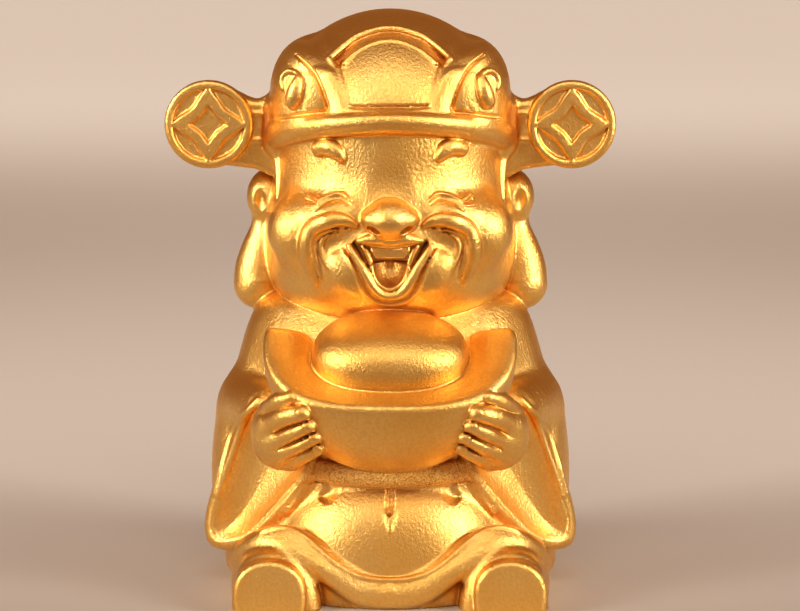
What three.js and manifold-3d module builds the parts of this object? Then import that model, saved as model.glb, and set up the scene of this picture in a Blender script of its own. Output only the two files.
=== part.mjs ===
// A figure of the god of wealth, cast in one piece: it sits with its soles to the front, laughs, and
// holds a boat-shaped ingot in both hands under a court hat whose two wings end in coins.
// Millimetres, +Z up. The figure faces -Y, and the origin is in the middle of its underside.

import * as THREE from "three";
import { mergeVertices } from "three/addons/utils/BufferGeometryUtils.js";
import Module from "manifold-3d";

const FIGURE_HEIGHT = 100;
const GOLD = { color: 0xe0a63a, roughness: 0.3, metalness: 1.0 };

// Every other size is a share of the figure's height, in hundredths, as a sculptor sets out a figure.
const share = FIGURE_HEIGHT / 100;
const LEFT_AND_RIGHT = [-1, 1];

// The head is round in plan and widest at the cheeks.
const CHEEK_HALF_WIDTH = 21.7;
const CHEEK_LEVEL = 60.5;
const JAW_DROP = 16.2;
const JAW_FULLNESS = 2.8;
const TEMPLE_NARROWING = 1.9;
const TEMPLE_RISE = 14;
const HEAD_TOP = 82;
const HEAD_DEPTH_RATIO = 0.96;
const MOUTH_DEPTH = 3.4;

// Round cheeks swell under the eyes.
const CHEEKS = [
  { centre: [14, -11.6, 62.6], radii: [7, 6.4, 6.8] },
  { centre: [9.8, -15.6, 66], radii: [4.4, 4.6, 2.9] },
];

// The hat is a dome that bulges to each side, over a rolled brim that tips up at the front.
const DOME_CENTRE = [0, 0.5, 78.5];
const DOME_RADII = [21.2, 20.6, 21.5];
const BULGE_CENTRE = [9.5, -0.8, 84];
const BULGE_RADII = [11.4, 15.6, 12];
const BULGE_SQUARENESS = 2.6;
const BRIM_RADIUS = 20.4;
const BRIM_ROLL = 1.85;
const BRIM_SPREAD = 1.5;
const BRIM_LEVEL = 77.3;
const BRIM_TIP_UP = THREE.MathUtils.degToRad(12);
const HAT_FRONT_DEPTH = 19;
const SHIELD_LIFT = 0.3;
const GROOVE_DEPTH = 0.75;

// A coin ends each wing of the hat.
const COIN_RADIUS = 7.6;
const COIN_THICKNESS = 2.6;
const COIN_RING_WIDTH = 1.5;
const COIN_RELIEF_DEPTH = 0.7;
const COIN_CENTRE = [31.3, -3.2, 80.3];
const WEB_THICKNESS = 4.8;

// The ingot is an egg-shaped hull. Its deck has a front rim that rises to the horns, and slopes up
// from that rim to the back, both by distance from the middle. So does the top edge of the horns.
const HULL_CENTRE = [0, -22, 44];
const HULL_RADII = [21.3, 13.5, 21.2];
const HULL_SQUARENESS = 2.5;
const DECK_RIM = [
  [0, 35.7], [8.9, 36.0], [14.2, 36.9], [17.0, 38.2], [19.7, 40.4], [20.9, 42.5], [21.3, 44.9],
];
const DECK_SLOPE = [[0, 0.45], [12, 0.46], [16.5, 0.65], [19.4, 0.8], [21.3, 1.0]];
const HORN_TOP = [[0, 43], [12.5, 44.3], [13.8, 45.3], [15.4, 46.1], [17, 46.4], [18.6, 46.5], [21.3, 45.7]];
const HORN_FALL = 0.22;
const HORN_RIDGE = -17;
const KNOB_CENTRE = [0, -21.6, 43.2];
const KNOB_RADII = [13.5, 9.6, 7.3];

// The robe is round in plan and flatter from front to back, most of all under the chin.
const ROBE_DEPTHS = [[0, 0.8], [30, 0.8], [44, 0.74], [52.4, 0.58]];
const BELLY_CENTRE = [0, -8, 6];
const BELLY_RADII = [20.5, 18.3, 18.6];
const BELLY_SQUARENESS = 2.4;

// A cuff is a plate set at this corner and turned outwards, with a hollow in its front.
const CUFF_CORNER = [12.4, -21.4];
const CUFF_TURN = THREE.MathUtils.degToRad(32);
const CUFF_DEPTH = 11;
const CUFF_HOLLOW_DEPTH = 3;
const CUFF_NARROWING = 0.13;

const SOLE_CENTRE = 20.2;
const SOLE_FRONT = -30;
const SOLE_DEPTH = 6;
const SOLE_HALF_WIDTH = 6.2;
const SOLE_HEIGHT = 9.2;
const SHOE_FRONT = -28.2;

const wasm = await Module();
wasm.setup();

// The value at a place along a table of places and values.
function along(table, place) {
  const next = table.findIndex(([mark]) => mark >= place);
  if (next < 0) return table[table.length - 1][1];
  if (next === 0) return table[0][1];
  const [from, to] = [table[next - 1], table[next]];
  return THREE.MathUtils.mapLinear(place, from[0], to[0], from[1], to[1]);
}

function at(x, y, z) {
  return new THREE.Vector3(x, y, z).multiplyScalar(share);
}

// Turns a closed three.js geometry into a solid that can be joined and cut.
function solid(geometry) {
  const bare = geometry.clone();
  bare.deleteAttribute("normal");
  bare.deleteAttribute("uv");
  const merged = mergeVertices(bare, 1e-3);
  const corners = merged.index.array;
  const triVerts = [];
  for (let i = 0; i < corners.length; i += 3) {
    const [a, b, c] = [corners[i], corners[i + 1], corners[i + 2]];
    if (a !== b && b !== c && c !== a) triVerts.push(a, b, c);
  }
  return new wasm.Manifold(
    new wasm.Mesh({
      numProp: 3,
      vertProperties: merged.attributes.position.array,
      triVerts: new Uint32Array(triVerts),
    }),
  );
}

function geometryOf(made) {
  const mesh = made.getMesh();
  const geometry = new THREE.BufferGeometry();
  geometry.setAttribute("position", new THREE.BufferAttribute(mesh.vertProperties, 3));
  geometry.setIndex(new THREE.BufferAttribute(mesh.triVerts, 1));
  geometry.computeVertexNormals();
  return geometry;
}

function joined(solids) {
  return solids.reduce((whole, next) => whole.add(next));
}

// Moves each corner of a geometry to where the rule puts it.
function moulded(geometry, rule) {
  const position = geometry.attributes.position;
  for (let i = 0; i < position.count; i++) {
    const placed = rule(new THREE.Vector3().fromBufferAttribute(position, i));
    position.setXYZ(i, placed.x, placed.y, placed.z);
  }
  return geometry;
}

// An egg with its own three radii, turned about X, Y and Z in degrees. A squareness over 2 fills its
// corners out.
function egg(centre, radii, { turn = [0, 0, 0], sides = 14, rings = 10, squareness = 2 } = {}) {
  const geometry = new THREE.SphereGeometry(1, sides, rings);
  geometry.rotateX(Math.PI / 2);
  moulded(geometry, (v) => {
    const power = Math.abs(v.x) ** squareness + Math.abs(v.y) ** squareness + Math.abs(v.z) ** squareness;
    return v.divideScalar(power ** (1 / squareness));
  });
  geometry.scale(...at(...radii).toArray());
  const angles = turn.map(THREE.MathUtils.degToRad);
  geometry.applyMatrix4(new THREE.Matrix4().makeRotationFromEuler(new THREE.Euler(...angles)));
  geometry.translate(...at(...centre).toArray());
  return solid(geometry);
}

// A round-ended roll along a smooth line, with a radius at each of its points.
// flat is how thick it is towards facing, as a share of its width. Without facing, it lies on the
// upright axis of the figure as a wrapping does.
function strand(points, radii, { sides = 6, rings = 9, flat = 1, facing = null } = {}) {
  const line = new THREE.CatmullRomCurve3(points.map((p) => at(...p)), false, "centripetal");
  const length = line.getLength();
  const last = points.length - 1;
  const radiusAt = (t) => {
    const i = Math.min(last - 1, Math.floor(t * last));
    return share * THREE.MathUtils.lerp(radii[i], radii[i + 1], t * last - i);
  };
  // Two rings round off each end, and the rest are evenly spaced between them.
  const caps = [radii[0], radii[last]].map((radius) => (share * radius) / length);
  const places = [0, caps[0] * 0.3, caps[0]];
  for (let i = 3; i < rings - 2; i++) {
    places.push(THREE.MathUtils.lerp(caps[0], 1 - caps[1], (i - 2) / (rings - 4)));
  }
  places.push(1 - caps[1], 1 - caps[1] * 0.3, 1);
  const roundEnd = (reach, radius) => Math.sqrt(1 - Math.max(0, 1 - reach / radius) ** 2);
  return solid(
    moulded(new THREE.SphereGeometry(1, sides, rings), (v) => {
      const ring = Math.round((Math.acos(THREE.MathUtils.clamp(v.y, -1, 1)) / Math.PI) * rings);
      const place = places[ring];
      const centre = line.getPointAt(place);
      const tangent = line.getTangentAt(place);
      const front = facing ? new THREE.Vector3(...facing) : new THREE.Vector3(centre.x, centre.y, 0);
      const thick = front.addScaledVector(tangent, -tangent.dot(front)).normalize();
      const wide = thick.clone().cross(tangent);
      const full = radiusAt(line.getUtoTmapping(place));
      const reach = length * Math.min(place, 1 - place);
      const radius = ring % rings ? full * roundEnd(reach, full) : 0;
      const round = Math.atan2(v.z, v.x);
      return centre
        .addScaledVector(wide, radius * Math.cos(round))
        .addScaledVector(thick, radius * flat * Math.sin(round));
    }),
  );
}

function mirroredAcross(points) {
  return [...points, ...points.slice(0, -1).reverse().map(([x, ...rest]) => [-x, ...rest])];
}

function onSide(side, points) {
  return points.map(([x, ...rest]) => [side * x, ...rest]);
}

// A plate cut to an outline in the front view: its front face is at front, and it is deep behind it.
function plate(outline, front, depth, { bevel = 0, curveSegments = 8 } = {}) {
  const geometry = new THREE.ExtrudeGeometry(outline, {
    depth: (depth - bevel) * share,
    bevelEnabled: bevel > 0,
    bevelThickness: bevel * share,
    bevelSize: bevel * share,
    bevelOffset: -bevel * share,
    bevelSegments: 1,
    curveSegments,
  });
  geometry.rotateX(Math.PI / 2);
  geometry.translate(0, (front + depth) * share, 0);
  return geometry;
}

function outlineOf(points) {
  return new THREE.Shape(points.map(([x, z]) => new THREE.Vector2(x, z).multiplyScalar(share)));
}

function smoothOutline(points, count) {
  const line = new THREE.CatmullRomCurve3(points.map(([x, z]) => at(x, z, 0)), true, "centripetal");
  const spots = line.getSpacedPoints(count).slice(0, count);
  return new THREE.Shape(spots.map((spot) => new THREE.Vector2(spot.x, spot.y)));
}

// A body of revolution about Z, flattened front to back by the ratio for each level.
function lathed(profile, depths, sides) {
  const geometry = new THREE.LatheGeometry(
    profile.map(([radius, z]) => new THREE.Vector2(radius, z).multiplyScalar(share)),
    sides,
  );
  geometry.rotateX(Math.PI / 2);
  return solid(moulded(geometry, (v) => v.setY(v.y * along(depths, v.z / share))));
}

function smoothProfile(points, count) {
  return new THREE.SplineCurve(points.map(([r, z]) => new THREE.Vector2(r, z)))
    .getPoints(count)
    .map((p) => [Math.max(0, p.x), p.y]);
}

// The head's half width at a level.
function headHalfWidth(z) {
  if (z < CHEEK_LEVEL) {
    const drop = Math.min(1, (CHEEK_LEVEL - z) / JAW_DROP);
    return CHEEK_HALF_WIDTH * (1 - drop ** JAW_FULLNESS) ** (1 / JAW_FULLNESS);
  }
  return CHEEK_HALF_WIDTH - TEMPLE_NARROWING * THREE.MathUtils.smoothstep(z - CHEEK_LEVEL, 0, TEMPLE_RISE);
}

// The front of an egg at x and z, or nothing where the egg doesn't reach.
function frontOf(centre, radii, x, z, squareness = 2) {
  const across = Math.abs((x - centre[0]) / radii[0]) ** squareness;
  const left = 1 - across - Math.abs((z - centre[2]) / radii[2]) ** squareness;
  return left > 0 ? centre[1] - radii[1] * left ** (1 / squareness) : Infinity;
}

function faceFront(z) {
  return -HEAD_DEPTH_RATIO * headHalfWidth(z);
}

// A point on the face at x and z, raised by lift.
function onFace([x, z], lift = 0) {
  const wide = headHalfWidth(z);
  const skull = -HEAD_DEPTH_RATIO * Math.sqrt(Math.max(0, wide * wide - x * x));
  const cheeks = CHEEKS.map(({ centre, radii }) => frontOf(centre, radii, Math.abs(x), z));
  const y = Math.min(skull, ...cheeks);
  const out = new THREE.Vector2(x, y).setLength(lift);
  return [x + out.x, y + out.y, z];
}

function head() {
  const profile = [];
  const levels = 7;
  for (let i = 0; i <= levels; i++) {
    const z = CHEEK_LEVEL - JAW_DROP * Math.cos((Math.PI / 2) * (i / levels));
    profile.push([i ? headHalfWidth(z) : 0, z]);
  }
  for (const z of [68, 75, HEAD_TOP]) profile.push([headHalfWidth(z), z]);
  profile.push([0, HEAD_TOP]);
  return lathed(profile, [[0, HEAD_DEPTH_RATIO]], 22);
}

function cheek(side) {
  return joined(
    CHEEKS.map(({ centre: [x, y, z], radii }) => egg([side * x, y, z], radii, { sides: 7, rings: 5 })),
  );
}

// The brow is a comma: a thick round outer end with its tail drawn in and down.
function brow(side) {
  const line = [[-11.9, 77.0], [-10.7, 77.4], [-9.5, 77.1], [-8.6, 76.3], [-8.0, 75.2]];
  const placed = line.map((spot) => onFace(spot, 0.3));
  return strand(onSide(side, placed), [1.3, 1.5, 1.4, 1.1, 0.7], { rings: 8 });
}

// The closed eye is an arch-shaped lid.
function eye(side) {
  const line = [[-13.2, 67.6], [-11.6, 68.6], [-9.4, 69.7], [-7.6, 69.4], [-6.2, 68.0]];
  const placed = line.map((spot) => onFace(spot, 0.1));
  return strand(onSide(side, placed), [0.4, 0.6, 0.75, 0.6, 0.4], { rings: 7 });
}

function nose() {
  const bridge = faceFront(66);
  const bulb = egg([0, bridge - 0.6, 66.3], [4.8, 4.4, 2.9], { sides: 8, rings: 6 });
  const tip = egg([0, bridge - 2.4, 65.6], [2.8, 2.7, 2.3], { sides: 6, rings: 5 });
  const wings = LEFT_AND_RIGHT.map((side) =>
    egg([side * 3.5, bridge - 1.4, 64.8], [1.6, 2.1, 1.5], { sides: 5, rings: 4 }),
  );
  return joined([bulb, tip, ...wings]);
}

// Each half of the moustache sweeps out over the cheek and hangs down to a point.
function moustache(side) {
  const line = [
    [-5.2, 64.0], [-7.6, 65.9], [-10.6, 66.4], [-13.2, 65.0],
    [-14.3, 62.0], [-13.8, 58.6], [-12.8, 55.8], [-11.8, 53.2],
  ];
  const widths = [0.8, 1.1, 1.5, 2.0, 2.3, 1.9, 1.2, 0.6];
  return strand(onSide(side, line.map((spot) => onFace(spot, 0.3))), widths, { rings: 11, flat: 0.7 });
}

function mouthHollow() {
  const half = [[6.3, 61.4], [4.8, 57.4], [2.4, 53.8], [0, 52.9]];
  const outline = smoothOutline([...mirroredAcross(half), [0, 62.0]], 14);
  const front = faceFront(CHEEK_LEVEL);
  return solid(plate(outline, front - 5, 5 + MOUTH_DEPTH));
}

function mouth() {
  const back = faceFront(CHEEK_LEVEL) + MOUTH_DEPTH;
  const lowerLip = mirroredAcross([[-7.4, 61.4], [-6.6, 58.6], [-5.0, 55.4], [-2.9, 52.9], [0, 52.1]]);
  const upperLip = mirroredAcross([[-5.8, 62.2], [-3.0, 62.2], [0, 61.9]]);
  const lower = strand(
    lowerLip.map((spot) => onFace(spot, 0.15)),
    [0.6, 0.9, 1.1, 1.2, 1.25, 1.2, 1.1, 0.9, 0.6],
    { rings: 13 },
  );
  const upper = strand(
    upperLip.map((spot) => onFace(spot, 0.5)),
    [0.5, 1.0, 1.1, 1.0, 0.5],
    { rings: 7 },
  );
  const teeth = egg([0, back, 60.0], [4.2, 2.8, 1.4], { sides: 6, rings: 4 });
  const tongue = egg([0, back + 0.8, 56.2], [2.8, 2.6, 2.8], { sides: 7, rings: 5 });
  return joined([lower, upper, teeth, tongue]);
}

// The ear lies behind the cheek and runs down into a long heavy lobe.
function ear(side) {
  const edge = side * CHEEK_HALF_WIDTH;
  const turn = [0, side * -6, side * 14];
  const shell = egg([edge - side * 0.3, 3, 67.3], [3.8, 4.4, 4.8], { turn, sides: 8, rings: 6 });
  const hollow = egg([edge + side, -1.6, 66.7], [1.0, 1.7, 2.0], { sides: 5, rings: 4 });
  const drop = [[-0.3, 3, 66.4], [0.1, 3, 61.4], [0.7, 3, 57.4], [1.4, 3, 52.2], [1.6, 2.8, 47.2]];
  const lobe = strand(
    drop.map(([out, y, z]) => [edge + side * out, y, z]),
    [2.4, 2.8, 3.9, 4.7, 4.6],
    { sides: 8, rings: 9, facing: [0, -1, 0] },
  );
  return joined([shell, lobe]).subtract(hollow);
}

function dome(lift = 0) {
  return egg(DOME_CENTRE, DOME_RADII.map((radius) => radius + lift), { sides: 18, rings: 12 });
}

function bulge(side, lift = 0) {
  const [x, y, z] = BULGE_CENTRE;
  const radii = BULGE_RADII.map((radius) => radius + lift);
  return egg([side * x, y, z], radii, { sides: 14, rings: 10, squareness: BULGE_SQUARENESS });
}

// A point on the front of the hat at x and z, raised by lift.
function onHat([x, z], lift = 0) {
  const eggs = [
    { centre: DOME_CENTRE, radii: DOME_RADII, squareness: 2 },
    { centre: BULGE_CENTRE, radii: BULGE_RADII, squareness: BULGE_SQUARENESS },
  ];
  const fronts = eggs.map((one) => frontOf(one.centre, one.radii, Math.abs(x), z, one.squareness));
  const { centre, radii, squareness } = fronts[0] < fronts[1] ? eggs[0] : eggs[1];
  const spot = new THREE.Vector3(Math.abs(x), Math.min(...fronts), z);
  const slope = [0, 1, 2].map((axis) => {
    const off = (spot.getComponent(axis) - centre[axis]) / radii[axis];
    return (Math.sign(off) * Math.abs(off) ** (squareness - 1)) / radii[axis];
  });
  spot.addScaledVector(new THREE.Vector3(...slope).normalize(), lift);
  return [Math.sign(x) * spot.x, spot.y, spot.z];
}

function brim() {
  const roll = new THREE.TorusGeometry(BRIM_RADIUS * share, BRIM_ROLL * share, 6, 22);
  return solid(
    moulded(roll, (v) => {
      const toFront = Math.max(0, -v.y / Math.hypot(v.x, v.y));
      const y = v.y * HEAD_DEPTH_RATIO;
      const thick = v.z * THREE.MathUtils.lerp(BRIM_SPREAD, 1, toFront);
      return new THREE.Vector3(v.x, y, BRIM_LEVEL * share + thick - y * Math.tan(BRIM_TIP_UP));
    }),
  );
}

// The front shield is sunk under a bow that frames its top.
const BOW = mirroredAcross([
  [-6.0, 84.4], [-6.8, 87.4], [-8.0, 90.0], [-10.1, 91.6], [-7.9, 93.6], [-4.2, 95.3], [0, 96.1],
]);
const SHIELD = mirroredAcross([
  [-6.9, 84.2], [-7.9, 87.2], [-8.9, 90.5], [-6.6, 92.9], [-3.3, 94.6], [0, 95.3],
]);
const BOW_EDGE = mirroredAcross([
  [-9.2, 90.0], [-10.4, 91.9], [-8.1, 94.1], [-4.3, 95.8], [-0.01, 96.7],
]);
// A sunk panel on each side of the hat, with a drop in it.
const SIDE_PANEL = [
  [22.0, 88.6], [18.2, 91.2], [16.4, 91.0], [14.6, 89.7], [12.9, 87.5], [11.7, 85.3],
  [10.8, 83.3], [14.5, 82.6], [18.8, 81.8], [23, 81.4],
];
// The side of the hat thickens where the wing joins it.
const WING_ROOT = [[19.7, -3.4, 74.6], [19.7, -3.3, 78.8], [19.6, -3.2, 85.0]];

// The front of the hat inside an outline.
function hatFront(outline) {
  const front = DOME_CENTRE[1] - DOME_RADII[1] - 2;
  return solid(plate(outlineOf(outline), front, HAT_FRONT_DEPTH));
}

function shield() {
  return dome(SHIELD_LIFT).intersect(hatFront(SHIELD));
}

function bowHollow() {
  return hatFront(BOW).subtract(dome(-GROOVE_DEPTH));
}

function panelHollow(side) {
  const panel = hatFront(onSide(side, SIDE_PANEL));
  return panel.subtract(bulge(side, -GROOVE_DEPTH)).subtract(dome(-GROOVE_DEPTH));
}

// A broad soft band runs up between the shield and a side panel.
function frameBand(side) {
  const line = [[9.1, 80.0], [9.4, 83.5], [10.2, 87.0], [11.8, 90.6]];
  const placed = line.map((spot) => onHat(spot, -0.3));
  return strand(onSide(side, placed), [2.2, 2.4, 2.6, 2.0], { rings: 8, flat: 0.4 });
}

function panelDrop(side) {
  return egg([side * 16.6, -12.9, 86.8], [1.4, 1.4, 2.8], { sides: 6, rings: 5 });
}

function wingRoot(side) {
  return strand(onSide(side, WING_ROOT), [2.2, 2.6, 2.2], { sides: 8, rings: 8 });
}

function hat() {
  const belowBrim = new THREE.BoxGeometry(80 * share, 80 * share, 40 * share);
  belowBrim.translate(0, 0, -20 * share);
  belowBrim.rotateX(-BRIM_TIP_UP);
  belowBrim.translate(0, 0, BRIM_LEVEL * share);
  const edge = strand(
    BOW_EDGE.map((spot) => onHat(spot)),
    [0.4, 0.6, 0.65, 0.65, 0.65, 0.65, 0.65, 0.6, 0.4],
    { rings: 11, sides: 4 },
  );
  const both = (made) => LEFT_AND_RIGHT.map((side) => made(side));
  const shell = joined([dome(), ...both((side) => bulge(side)), ...both(frameBand)]);
  const crown = shell.subtract(joined([bowHollow(), solid(belowBrim), ...both(panelHollow)]));
  return joined([crown, brim(), shield(), edge, ...both(panelDrop), ...both(wingRoot)]);
}

// Four petals and a hollow-sided square are sunk in the face of the coin, inside its ring.
function coinRelief(side) {
  const inner = COIN_RADIUS - COIN_RING_WIDTH;
  const front = COIN_CENTRE[1] - COIN_THICKNESS;
  const quarter = Math.PI / 2;
  const steps = 4;
  const spot = (angle, radius) => [radius * Math.cos(angle), radius * Math.sin(angle)];
  const petals = [0, 1, 2, 3].map((i) => {
    const turn = (k) => quarter * (i + THREE.MathUtils.lerp(0.05, 0.95, k / steps));
    const outer = Array.from({ length: steps + 1 }, (_, k) => spot(turn(k), inner));
    const inwards = Array.from({ length: steps - 1 }, (_, k) =>
      spot(turn(steps - 1 - k), inner * (0.97 - 0.34 * Math.sin((Math.PI * (k + 1)) / steps))),
    );
    return [...outer, ...inwards];
  });
  const square = Array.from({ length: 12 }, (_, i) => {
    const angle = (quarter * i) / 3;
    return spot(angle, inner * 0.52 * (1 - 0.4 * Math.abs(Math.sin(2 * angle)) ** 0.7));
  });
  return [...petals, square].map((points) => {
    const placed = points.map(([x, z]) => [x + side * COIN_CENTRE[0], z + COIN_CENTRE[2]]);
    return solid(plate(outlineOf(placed), front - 1, 1 + COIN_RELIEF_DEPTH));
  });
}

// A web joins the coin to the side of the hat.
const WEB = [
  [19, 71.8], [23.5, 72.4], [28.5, 73.0], [34.5, 73.6], [38, 79.5], [35, 85.5], [30, 87.2],
  [26.6, 85.9], [24.6, 84.9], [22.8, 84.5], [19, 85.2],
];

function wing(side) {
  const [x, y, z] = COIN_CENTRE;
  const round = new THREE.Shape().absarc(side * x * share, z * share, COIN_RADIUS * share, 0, 2 * Math.PI);
  const coin = solid(plate(round, y - COIN_THICKNESS, COIN_THICKNESS, { bevel: 0.8, curveSegments: 10 }));
  const web = smoothOutline(onSide(side, WEB), 14);
  return coin.add(solid(plate(web, y - 0.4, WEB_THICKNESS, { bevel: 1.2 })));
}

function robe() {
  const side = [
    [27.4, 0], [29.3, 2.6], [28.9, 8], [27.6, 18], [27.0, 27],
    [26.2, 35], [25.0, 41.9], [23.2, 47.4], [20.6, 50.4], [14, 52],
  ];
  return lathed([[0, 0], ...smoothProfile(side, 9), [0, 52.4]], ROBE_DEPTHS, 20);
}

// The robe's front swells forward from under the belt down to the hem, creased at the navel.
function belly() {
  const full = egg(BELLY_CENTRE, BELLY_RADII, { sides: 16, rings: 10, squareness: BELLY_SQUARENESS });
  const crease = egg([0, -23.6, 18.4], [0.8, 1.3, 2.6], { sides: 5, rings: 5 });
  const dimples = LEFT_AND_RIGHT.map((side) =>
    egg([side * 10.8, -20.6, 18.8], [1.0, 1.4, 1.3], { sides: 6, rings: 4 }),
  );
  return full.subtract(joined([crease, ...dimples]));
}

function belt() {
  const line = mirroredAcross([[-15.5, -17.4, 22.6], [-9.5, -21.8, 22.2], [0, -23.6, 22.0]]);
  return strand(line, [2.2, 2.2, 2.2, 2.2, 2.2], { rings: 10, flat: 0.4 });
}

// The hem crosses both shins and dips to the ground between them: a roll with a thin edge above it.
function hem() {
  const roll = [
    [-27.4, -11.0, 4.2], [-25.6, -17.6, 7.4], [-22.4, -22.0, 10.0], [-19.4, -24.0, 10.9],
    [-15.8, -25.2, 9.8], [-12.0, -25.7, 7.2], [-9.2, -25.8, 5.3], [-5.8, -26.0, 3.2], [0, -26.0, 2.3],
  ];
  const edge = [
    [-26.2, -16.0, 7.6], [-22.9, -21.2, 10.9], [-18.4, -23.2, 13.2], [-14.0, -24.4, 11.6],
    [-9.2, -26.0, 7.6], [-4.6, -26.3, 4.9], [0, -26.3, 4.1],
  ];
  const bothWays = (radii) => [...radii, ...radii.slice(0, -1).reverse()];
  return joined([
    strand(mirroredAcross(roll), bothWays([1.0, 1.2, 1.4, 1.4, 1.5, 1.8, 2.0, 2.0, 2.0]), { rings: 19 }),
    strand(mirroredAcross(edge), bothWays([0.8, 1.0, 1.1, 1.1, 1.0, 0.9, 0.9]), { sides: 4, rings: 15 }),
  ]);
}

// A wide cuff hangs under each wrist: a drop-shaped plate turned outwards, hollow inside its rim.
const CUFF = [
  [0.3, 23.8], [3.4, 17.2], [7.2, 13.2], [13.3, 8.6], [16.7, 7.0], [20.6, 6.2], [23.6, 6.9], [24.7, 9.7],
  [24.2, 13.6], [22.8, 17.8], [21.0, 22.2], [19.0, 26.4], [17.2, 29.6], [14.0, 33.2], [11.0, 35.2],
  [6.0, 33.8], [1.0, 28.4],
];
const CUFF_HOLLOW = [
  [2.7, 22.7], [7.4, 17.3], [11.7, 12.8], [15.4, 9.6], [18.4, 8.4], [21.0, 8.8], [21.8, 11.8],
  [19.4, 18.2], [17.0, 24.6], [15.8, 27.8], [13.0, 31.8], [9.0, 33.0], [5.0, 31.0], [2.6, 27.0],
];
const CUFF_MIDDLE = new THREE.Vector2(14, 19.5);

function atCuff(side, geometry) {
  geometry.rotateZ(side * CUFF_TURN);
  geometry.translate(...at(side * CUFF_CORNER[0], CUFF_CORNER[1], 0).toArray());
  return solid(geometry);
}

// The hollow narrows towards the cuff's middle as it goes in.
function cuffHollow(side) {
  const geometry = plate(smoothOutline(onSide(side, CUFF_HOLLOW), 12), -1, 1 + CUFF_HOLLOW_DEPTH);
  const [x, z] = [side * CUFF_MIDDLE.x, CUFF_MIDDLE.y].map((place) => place * share);
  moulded(geometry, (v) => {
    const narrower = 1 - (CUFF_NARROWING * v.y) / share;
    return v.set(x + (v.x - x) * narrower, v.y, z + (v.z - z) * narrower);
  });
  return atCuff(side, geometry);
}

function sleeve(side) {
  const upperLine = [
    [18.2, 1.5, 48.2], [20.6, 1, 41.5], [22.3, 0.4, 36], [24.4, -0.6, 30.6],
    [25.1, -2.4, 22.8], [26.2, -4.6, 16], [27.2, -6.6, 8.6],
  ];
  const upperRadii = [5.9, 7.1, 7.9, 9.0, 9.3, 7.5, 5.4];
  const upper = strand(onSide(side, upperLine), upperRadii, { sides: 8, rings: 9, flat: 0.68 });
  const fore = strand(
    onSide(side, [[24.0, 1, 31], [22.6, -8.0, 31.5], [20.4, -17.5, 31.5]]),
    [6.2, 5.8, 5.2],
    { facing: [0, 0, 1] },
  );
  const cuff = atCuff(side, plate(smoothOutline(onSide(side, CUFF), 16), 0, CUFF_DEPTH, { bevel: 1.8 }));
  return joined([upper, fore, cuff]).subtract(cuffHollow(side));
}

// The hull is an egg whose plan is squared off a little, so that its two horns are blunt.
function hull() {
  const round = new THREE.SphereGeometry(1, 20, 12);
  round.rotateX(Math.PI / 2);
  moulded(round, (v) => {
    const plan = Math.hypot(v.x, v.y);
    const power = Math.abs(v.x) ** HULL_SQUARENESS + Math.abs(v.y) ** HULL_SQUARENESS;
    const square = power ** (1 / HULL_SQUARENESS);
    const out = plan > 1e-6 ? plan / square : 1;
    return new THREE.Vector3(v.x * out * HULL_RADII[0], v.y * out * HULL_RADII[1], v.z * HULL_RADII[2])
      .add(new THREE.Vector3(...HULL_CENTRE))
      .multiplyScalar(share);
  });
  return solid(round).subtract(aboveDeck()).subtract(aboveHorns());
}

// A block over the ingot whose underside follows a rule that gives its level at x and y.
function blockOver(columns, rows, levelAt) {
  const [reach, depth] = [HULL_RADII[0] + 1, HULL_RADII[1] + 3];
  const top = HULL_CENTRE[2] + HULL_RADII[2] + 1;
  const block = new THREE.BoxGeometry(2, 2, 2, columns, rows, 1);
  return solid(
    moulded(block, (v) => {
      const x = reach * Math.sin((Math.PI / 2) * v.x);
      const y = HULL_CENTRE[1] + depth * v.y;
      return at(x, y, v.z > 0 ? top : levelAt(Math.abs(x), y));
    }),
  );
}

function aboveDeck() {
  return blockOver(12, 4, (x, y) => {
    const inside = Math.max(0, 1 - (x / HULL_RADII[0]) ** HULL_SQUARENESS) ** (1 / HULL_SQUARENESS);
    const front = HULL_CENTRE[1] - 0.95 * HULL_RADII[1] * inside;
    return along(DECK_RIM, x) + along(DECK_SLOPE, x) * (y - front);
  });
}

function aboveHorns() {
  return blockOver(14, 1, (x, y) => along(HORN_TOP, x) - HORN_FALL * (y - HORN_RIDGE));
}

function ingot() {
  const shape = { turn: [20, 0, 0], sides: 16, rings: 9, squareness: 2.3 };
  return hull().add(egg(KNOB_CENTRE, KNOB_RADII, shape));
}

// Four fingers and a thumb come round the ingot from each palm.
const FINGERS = [
  { knuckle: [21.4, -25.0, 31.2], bend: [17.6, -29.6, 33.4], tip: [14.0, -31.8, 34.6], radius: 2.1 },
  { knuckle: [20.6, -25.0, 28.4], bend: [16.6, -29.6, 30.4], tip: [12.8, -31.4, 32.1], radius: 1.75 },
  { knuckle: [19.2, -24.8, 26.2], bend: [15.4, -28.8, 28.0], tip: [11.7, -30.2, 29.9], radius: 1.65 },
  { knuckle: [17.6, -24.0, 24.7], bend: [14.4, -27.2, 26.2], tip: [11.3, -28.6, 27.9], radius: 1.45 },
  { knuckle: [21.6, -24.2, 33.6], bend: [18.9, -28.0, 35.6], tip: [15.9, -30.8, 37.1], radius: 1.6 },
];

function hand(side) {
  const palm = egg([side * 18.5, -22.6, 29.4], [6.4, 5.2, 6.6], { sides: 8, rings: 6 });
  const fingers = FINGERS.map(({ knuckle, bend, tip, radius }) => {
    const line = onSide(side, [knuckle, bend, tip]);
    return strand(line, [radius, radius, radius * 0.85], { sides: 5, rings: 6, facing: [0, 0, 1] });
  });
  return joined([palm, ...fingers]);
}

// Each leg lies forward under the robe and ends in a shoe with an upright sole, flat underneath.
const SHOE = [
  [11.5, -9], [11.6, 0], [12.4, 4.4], [14.2, 7.4], [16.6, 9.4], [19.4, 10.3], [22.4, 9.9],
  [25.0, 8.0], [26.4, 4.6], [26.7, 0], [26.7, -9],
];

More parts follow.
